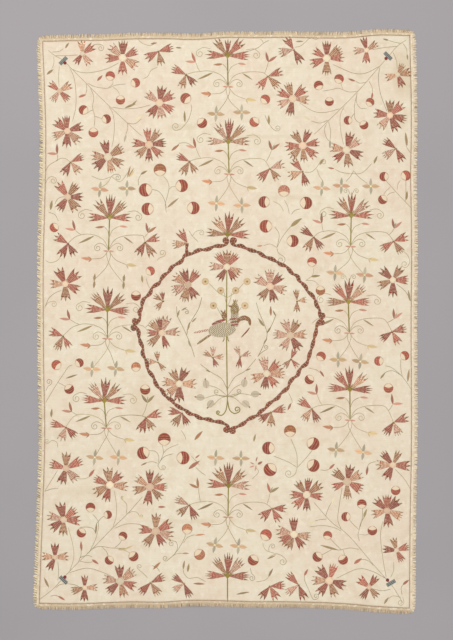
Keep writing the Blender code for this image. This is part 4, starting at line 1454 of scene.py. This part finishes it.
ties, knots = Needlework(), Needlework()
for px, py, angle, knot_px, knot_py in TIES:
    x, y = beyond(*spot(px, py), angle, -TIE_LENGTH / 2)
    ties.lay(PAD, x, y, angle, TIE_LENGTH, TIE_HALF_WIDTH, SLATE, lift=0.0008)
    knots.lay(DISC, *spot(knot_px, knot_py), 90, KNOT_RADIUS, KNOT_RADIUS, KNOT_MADDER, rise=1.6, lift=0.0012)
ties.finish("corner_ties", tie_finish())
knots.finish("tie_knots", middle_finish())

# Medallion ring: a couched rope of two plies, madder and brown, that waves round the middle in four lengths.
# They end in small coils at the top, the bottom and the sides. Each row: x and y in turn in the middle part
RING = (
    (762, 88, 750, 110, 720, 118, 690, 120, 660, 124, 630, 140, 600, 148, 560, 148, 530, 160, 505, 176, 470,
     180, 442, 196, 430, 222, 410, 242, 380, 258, 350, 277, 325, 315, 295, 335, 275, 360, 255, 395, 225,
     415, 200, 436, 188, 470, 165, 495, 140, 515, 129, 545, 125, 580, 108, 612, 113, 645, 104, 672, 84, 692),
    (797, 82, 806, 104, 830, 118, 868, 119, 900, 135, 935, 150, 970, 158, 1000, 170, 1030, 190, 1060, 206,
     1100, 218, 1130, 236, 1160, 256, 1200, 270, 1225, 297, 1250, 325, 1288, 347, 1300, 376, 1325, 400,
     1350, 426, 1365, 460, 1398, 488, 1418, 520, 1430, 560, 1450, 590, 1454, 622, 1460, 644),
    (82, 722, 92, 738, 102, 764, 105, 800, 116, 840, 134, 878, 131, 920, 150, 960, 165, 1000, 170, 1040,
     190, 1070, 214, 1100, 226, 1140, 250, 1175, 275, 1197, 295, 1230, 320, 1255, 350, 1272, 372, 1300, 410,
     1325, 450, 1346, 482, 1370, 520, 1380, 552, 1400, 590, 1410, 630, 1416, 670, 1430, 710, 1433, 742,
     1446, 764, 1464, 771, 1488),
    (1456, 678, 1442, 696, 1430, 724, 1426, 760, 1415, 800, 1405, 840, 1395, 880, 1380, 920, 1370, 960,
     1353, 1000, 1320, 1025, 1300, 1052, 1288, 1085, 1252, 1110, 1230, 1140, 1218, 1175, 1190, 1200, 1160,
     1225, 1140, 1254, 1105, 1276, 1072, 1300, 1050, 1330, 1016, 1352, 990, 1380, 950, 1400, 916, 1417, 888,
     1442, 850, 1464, 822, 1474, 797, 1488),
)
RING_COILS = ((2.3, -2.2), (-2.3, 2.2), (2.2, -2.3), (-2.2, 2.3))
RING_COIL_TURNS = 1.15
RING_SPUR = (466, 178, 460, 150, 464, 100)
ROPE_STEP = 0.8
PLY_RADIUS = 0.0048
PLY_OFFSET = 0.0047
PLY_HEIGHT = 0.0030
PLY_LIFT = 0.0010
ROPE_TURN = 0.100
ROPE_MADDER = srgb(156, 84, 60)
ROPE_BROWN = srgb(138, 84, 60)
ROPE_SHADE, ROPE_DOT, ROPE_SIDE_SHADE = srgb(78, 44, 34), srgb(226, 190, 150), srgb(84, 58, 36)
ROPE_THREAD_PITCH, ROPE_COUCHING_PITCH = 0.0040, 0.0145


def rope_finish():
    """Plied rope silk with slanting plies, light dots where it is couched down, and painted shade on its
    rounded sides.
    """
    finish = Finish("rope silk", 0.52, 0.3)
    across, along, _ = finish.threads()
    plies = finish.waves(along, ROPE_THREAD_PITCH, across * 3.0)
    dots = finish.waves(along, ROPE_COUCHING_PITCH)
    on_top = finish.range(across * across, 0.10, 0.45, 1.0, 0.0)
    finish.cover(finish.range(plies, -1.0, 0.2, 0.35, 0.0), ROPE_SHADE)
    finish.cover(finish.range(dots, 0.62, 0.95, 0.0, 0.68) * on_top, ROPE_DOT)
    # Painted shade: the rope's rounded sides are darkened in its colour, as if turned away from the light.
    finish.cover(finish.range(across * across, 0.45, 0.95, 0.0, 0.75), ROPE_SIDE_SHADE)
    return finish.finished(plies, 0.0006, 0.8)


def lay_rope(path):
    """Lays two plies that wind round each other along a path in pixels."""
    x, y = spot(path[:, 0], path[:, 1])
    way_x, way_y = way_along(x, y)
    for ply, dye in enumerate((ROPE_MADDER, ROPE_BROWN)):
        phase = 2 * np.pi * length_along(x, y) / ROPE_TURN + np.pi * ply
        offset = PLY_OFFSET * np.cos(phase)
        lift = PLY_LIFT * (1 + np.sin(phase))
        rope.run(x + way_y * offset, y - way_x * offset, PLY_RADIUS, PLY_HEIGHT, dye, 0.5, lift)


rope = Needlework()
for points, (first_coil, last_coil) in zip(RING, RING_COILS):
    path = smooth(seen("middle", points), ROPE_STEP)
    path = tendril(path, last_coil, RING_COIL_TURNS)
    path = tendril(path[::-1], first_coil, RING_COIL_TURNS)
    lay_rope(path)
lay_rope(smooth(seen("middle", RING_SPUR), ROPE_STEP))
rope.finish("medallion_rope", rope_finish())

# Inside the medallion: an olive centre stem that ends in two coils, small wheels, grey buds, leafy sprays,
# and two birds on the stem, all in laid floss.
heart_stems, wheels, birds, heart_leaves = Needlework(), Needlework(), Needlework(), Needlework()
CENTRE_STEM, ROOT_STEM = (0.0029, 0.0018), (0.0027, 0.0016)
stem(heart_stems, [(226.8, 270), (226.6, 330), (227.2, 392)], 0, TRUNK_OLIVE, *CENTRE_STEM)
for curl, *places in ((-2.0, 766, 1200, 763, 1290, 752, 1350, 722, 1384, 690, 1376),
                      (3.2, 766, 1270, 780, 1340, 815, 1370, 846, 1362)):
    stem(heart_stems, seen("middle", places), curl, TRUNK_OLIVE, *ROOT_STEM)
WHEELS = ((600, 385), (715, 452), (660, 565), (912, 385), (826, 452), (895, 565))
ACORNS = (
    (605, 1150, 100), (562, 1250, 175), (638, 1298, 235), (890, 1142, 80), (972, 1225, 0), (902, 1298, 320),
)
ACORN_GREY = srgb(188, 174, 148)
ACORN_LENGTH, ACORN_HALF_WIDTH = 0.0190, 0.0140
ACORN_TIP, TIP_LENGTH, TIP_HALF_WIDTH = 0.017, 0.010, 0.0035
ACORN_FORK = 1240
STEM_MIDDLE = 764
WHEEL_RADIUS, HUB_RADIUS = 0.0160, 0.0045
WHEEL_CREAM = srgb(212, 188, 144)


def branch(start_y, x, y, gap, rise):
    """Works a bent stem from the centre stem to a place, which it stops short of by the gap."""
    end_x = x + (gap if x < STEM_MIDDLE else -gap)
    middle_x, middle_y = (STEM_MIDDLE + end_x) / 2, (start_y + y) / 2 - rise
    stem(heart_stems, seen("middle", (STEM_MIDDLE, start_y, middle_x, middle_y, end_x, y)))


for x, y in WHEELS:
    wheels.lay(DISC, *inside(x, y), 90, WHEEL_RADIUS, WHEEL_RADIUS, WHEEL_CREAM)
    wheels.lay(DISC, *inside(x, y), 90, HUB_RADIUS, HUB_RADIUS, DYES["T"], lift=0.0012)
    branch(y + 120, x, y + 12, 26, -14)
for x, y, angle in ACORNS:
    tip_x, tip_y = beyond(*inside(x, y), angle, ACORN_TIP)
    heart_leaves.lay(DISC, *inside(x, y), angle, ACORN_LENGTH, ACORN_HALF_WIDTH, ACORN_GREY)
    heart_leaves.lay(LEAF, tip_x, tip_y, angle, TIP_LENGTH, TIP_HALF_WIDTH, DYES["D"])
    branch(ACORN_FORK, x, y + 10, 22, 16)

# Sprays inside the medallion: each row is the tendril's radius and then x and y in turn. Their leaves: the
# base, the angle, the length in millimetres and the dye
SPRAY_OLIVE = srgb(152, 144, 88)
SPRAY_HALF_WIDTH = 0.0013
SPRAYS = (
    (-2.6, 764, 1245, 716, 1240, 676, 1226), (2.6, 764, 1245, 812, 1240, 856, 1222),
    (0, 385, 570, 392, 640, 430, 720, 462, 790, 495, 870, 520, 950),
    (0, 462, 785, 470, 730, 500, 670, 548, 590, 575, 500),
    (0, 980, 540, 1000, 610, 1048, 725, 1060, 790, 1030, 870, 990, 950),
    (0, 1058, 770, 1100, 700, 1128, 630), (2.4, 990, 945, 1020, 915, 1060, 890),
    (-2.2, 420, 600, 450, 590, 470, 600), (0, 764, 1190, 720, 1110, 640, 1060, 560, 1000),
    (0, 764, 1190, 820, 1100, 900, 1050, 980, 960),
)
SPRAY_LEAVES = (
    (390, 650, 75, 34, "O"), (425, 600, 35, 26, "O"), (470, 745, 80, 36, "O"), (500, 690, 50, 30, "O"),
    (490, 870, 115, 30, "G"), (1040, 720, 130, 46, "O"), (1060, 770, 60, 34, "O"), (1090, 640, 95, 44, "T"),
    (1125, 640, 120, 28, "O"), (1035, 850, 60, 30, "O"), (640, 1060, 160, 26, "O"), (900, 1050, 25, 26, "O"),
)
for curl, *places in SPRAYS:
    stem(heart_stems, seen("middle", places), curl, SPRAY_OLIVE, SPRAY_HALF_WIDTH)
for x, y, angle, length, dye in SPRAY_LEAVES:
    heart_leaves.lay(LEAF, *inside(x, y), angle, length * 0.001, length * 0.00012, DYES[dye])

# The birds: padded feathers and flat parts, by their places in the middle part
BODY_GREY, BODY_TAN = srgb(196, 180, 150), srgb(160, 132, 82)
WING_BROWN, COLLAR_RED, FEATHER_PINK = srgb(148, 100, 60), srgb(158, 70, 60), srgb(214, 176, 152)


def bird_part(shape, x, y, angle, length, width, dye, lift=0.0):
    """Works one flat part of a bird at a place read in the middle part."""
    birds.lay(shape, *inside(x, y), angle, length, width, dye, 1.2, lift)


def feather(places, half_width, dye, lift=0.0):
    """Works one long padded part of a bird, through places given as x and y in turn."""
    path = smooth(seen("middle", places), 0.7)
    x, y = spot(path[:, 0], path[:, 1])
    birds.run(x, y, half_width, 0.0018, dye, 0.25, lift)


feather((650, 742, 590, 752, 512, 768), 0.0060, FEATHER_PINK)
feather((650, 775, 595, 812, 536, 854), 0.0055, BODY_TAN)
bird_part(DISC, 725, 745, 6, 0.062, 0.033, BODY_GREY, 0.0004)
bird_part(PAD, 816, 720, 88, 0.066, 0.0165, BODY_GREY, 0.0008)
bird_part(DISC, 819, 592, 88, 0.030, 0.0185, BODY_TAN, 0.0012)
bird_part(LEAF, 800, 572, 172, 0.018, 0.0035, WING_BROWN, 0.0014)
for angle in (66, 88, 112):
    bird_part(LEAF, 822, 556, angle, 0.024, 0.0035, BODY_TAN, 0.0010)
for x, y in ((782, 668), (786, 690), (790, 712)):
    bird_part(PAD, x, y, 8, 0.034, 0.0030, COLLAR_RED, 0.0020)
feather((832, 706, 850, 672, 890, 656, 925, 672, 934, 712), 0.0105, WING_BROWN, 0.0012)
feather((932, 728, 905, 762, 868, 802), 0.0032, COLLAR_RED, 0.0004)
feather((752, 668, 700, 684, 648, 706), 0.0065, COLLAR_RED, 0.0016)
bird_part(DISC, 741, 640, 100, 0.0165, 0.0125, WING_BROWN, 0.0018)
bird_part(LEAF, 738, 622, 142, 0.020, 0.0032, WING_BROWN, 0.0018)
bird_part(LEAF, 744, 622, 88, 0.018, 0.0032, WING_BROWN, 0.0018)
for places in ((738, 795, 740, 815, 728, 838), (768, 790, 768, 815, 778, 836)):
    feather(places, 0.0022, CUP_YELLOW)

DASH_LENGTH, DASH_ROW_PITCH = 0.0105, 0.0098
DOWN_CREAM, DASH_BROWN = srgb(230, 214, 180), srgb(84, 66, 48)


def bird_finish():
    """Laid floss with rows of small dark dashes for feathers."""
    finish = Finish("bird silk", 0.5, 0.3)
    x, y, _ = finish.axes(finish.place())
    dashes = finish.waves(x, DASH_LENGTH, (y * 500.0).sine() * 0.8) * finish.waves(y, DASH_ROW_PITCH)
    tufts = finish.noise(finish.place(), 130.0, 2.0)
    finish.cover(finish.range(tufts, 0.50, 0.64, 0.0, 0.45), DOWN_CREAM)
    finish.cover(finish.range(dashes, 0.10, 0.45, 0.0, 0.85), DASH_BROWN)
    return finish.finished(dashes, 0.0004, 0.7)


heart_stems.finish("medallion_stems", silk_cord_finish("medallion stem silk"))
wheels.finish("medallion_wheels", middle_finish())
heart_leaves.finish("medallion_leaves", leaf_material)
birds.finish("medallion_birds", bird_finish())

# Floor and light: a plain pale floor under the cloth, one large soft light from the head's side and a dim
# one from the foot, and a camera looking straight down at it.
FLOOR_GREY, FLOOR_SHADE = srgb(161, 156, 158), srgb(158, 154, 156)
HEAD_LIGHT_WATTS, FOOT_LIGHT_WATTS = 220.0, 154.0
SURROUND_STRENGTH = 0.385
CAMERA_HEIGHT = 10.0
SENSOR_HEIGHT = 36.0
VIEW_HEIGHT = 2.88


def floor_finish():
    """A matt pale floor with hardly any pattern."""
    finish = Finish("plain pale floor", 0.95, base=FLOOR_GREY)
    shade = finish.noise(finish.place(), 1.2, 2.0)
    finish.cover(finish.range(shade, 0.3, 0.7), FLOOR_SHADE)
    return finish.finished(shade, 0.0001, 0.1)


bpy.ops.object.select_all(action="DESELECT")
bpy.ops.mesh.primitive_plane_add(size=14)
floor = bpy.context.object
floor.name = floor.data.name = "floor"
floor.data.materials.append(floor_finish())


def soft_light(name, place, size, power):
    """An area light that looks at the middle of the cloth."""
    light = bpy.data.objects.new(name, bpy.data.lights.new(name, "AREA"))
    light.data.size = size
    light.data.energy = power
    light.location = place
    aim = np.array(place) / np.linalg.norm(place)
    light.rotation_euler = (math.acos(aim[2]), 0.0, math.atan2(aim[1], aim[0]) + math.pi / 2)
    bpy.context.scene.collection.objects.link(light)


soft_light("light_head", (-0.9, 3.2, 5.4), 2.8, HEAD_LIGHT_WATTS)
soft_light("light_foot", (0.8, -3.2, 5.6), 3.2, FOOT_LIGHT_WATTS)
world = bpy.data.worlds.new("studio")
world.use_nodes = True
background = world.node_tree.nodes["Background"]
background.inputs["Color"].default_value = (1.0, 0.99, 0.98, 1.0)
background.inputs["Strength"].default_value = SURROUND_STRENGTH
bpy.context.scene.world = world
bpy.context.scene.view_settings.view_transform = "Standard"

camera = bpy.data.objects.new("camera", bpy.data.cameras.new("camera"))
camera.location = (0.0036, 0.0054, CAMERA_HEIGHT)
camera.data.sensor_fit = "VERTICAL"
camera.data.sensor_height = SENSOR_HEIGHT
camera.data.lens = SENSOR_HEIGHT * CAMERA_HEIGHT / VIEW_HEIGHT
bpy.context.scene.collection.objects.link(camera)
bpy.context.scene.camera = camera
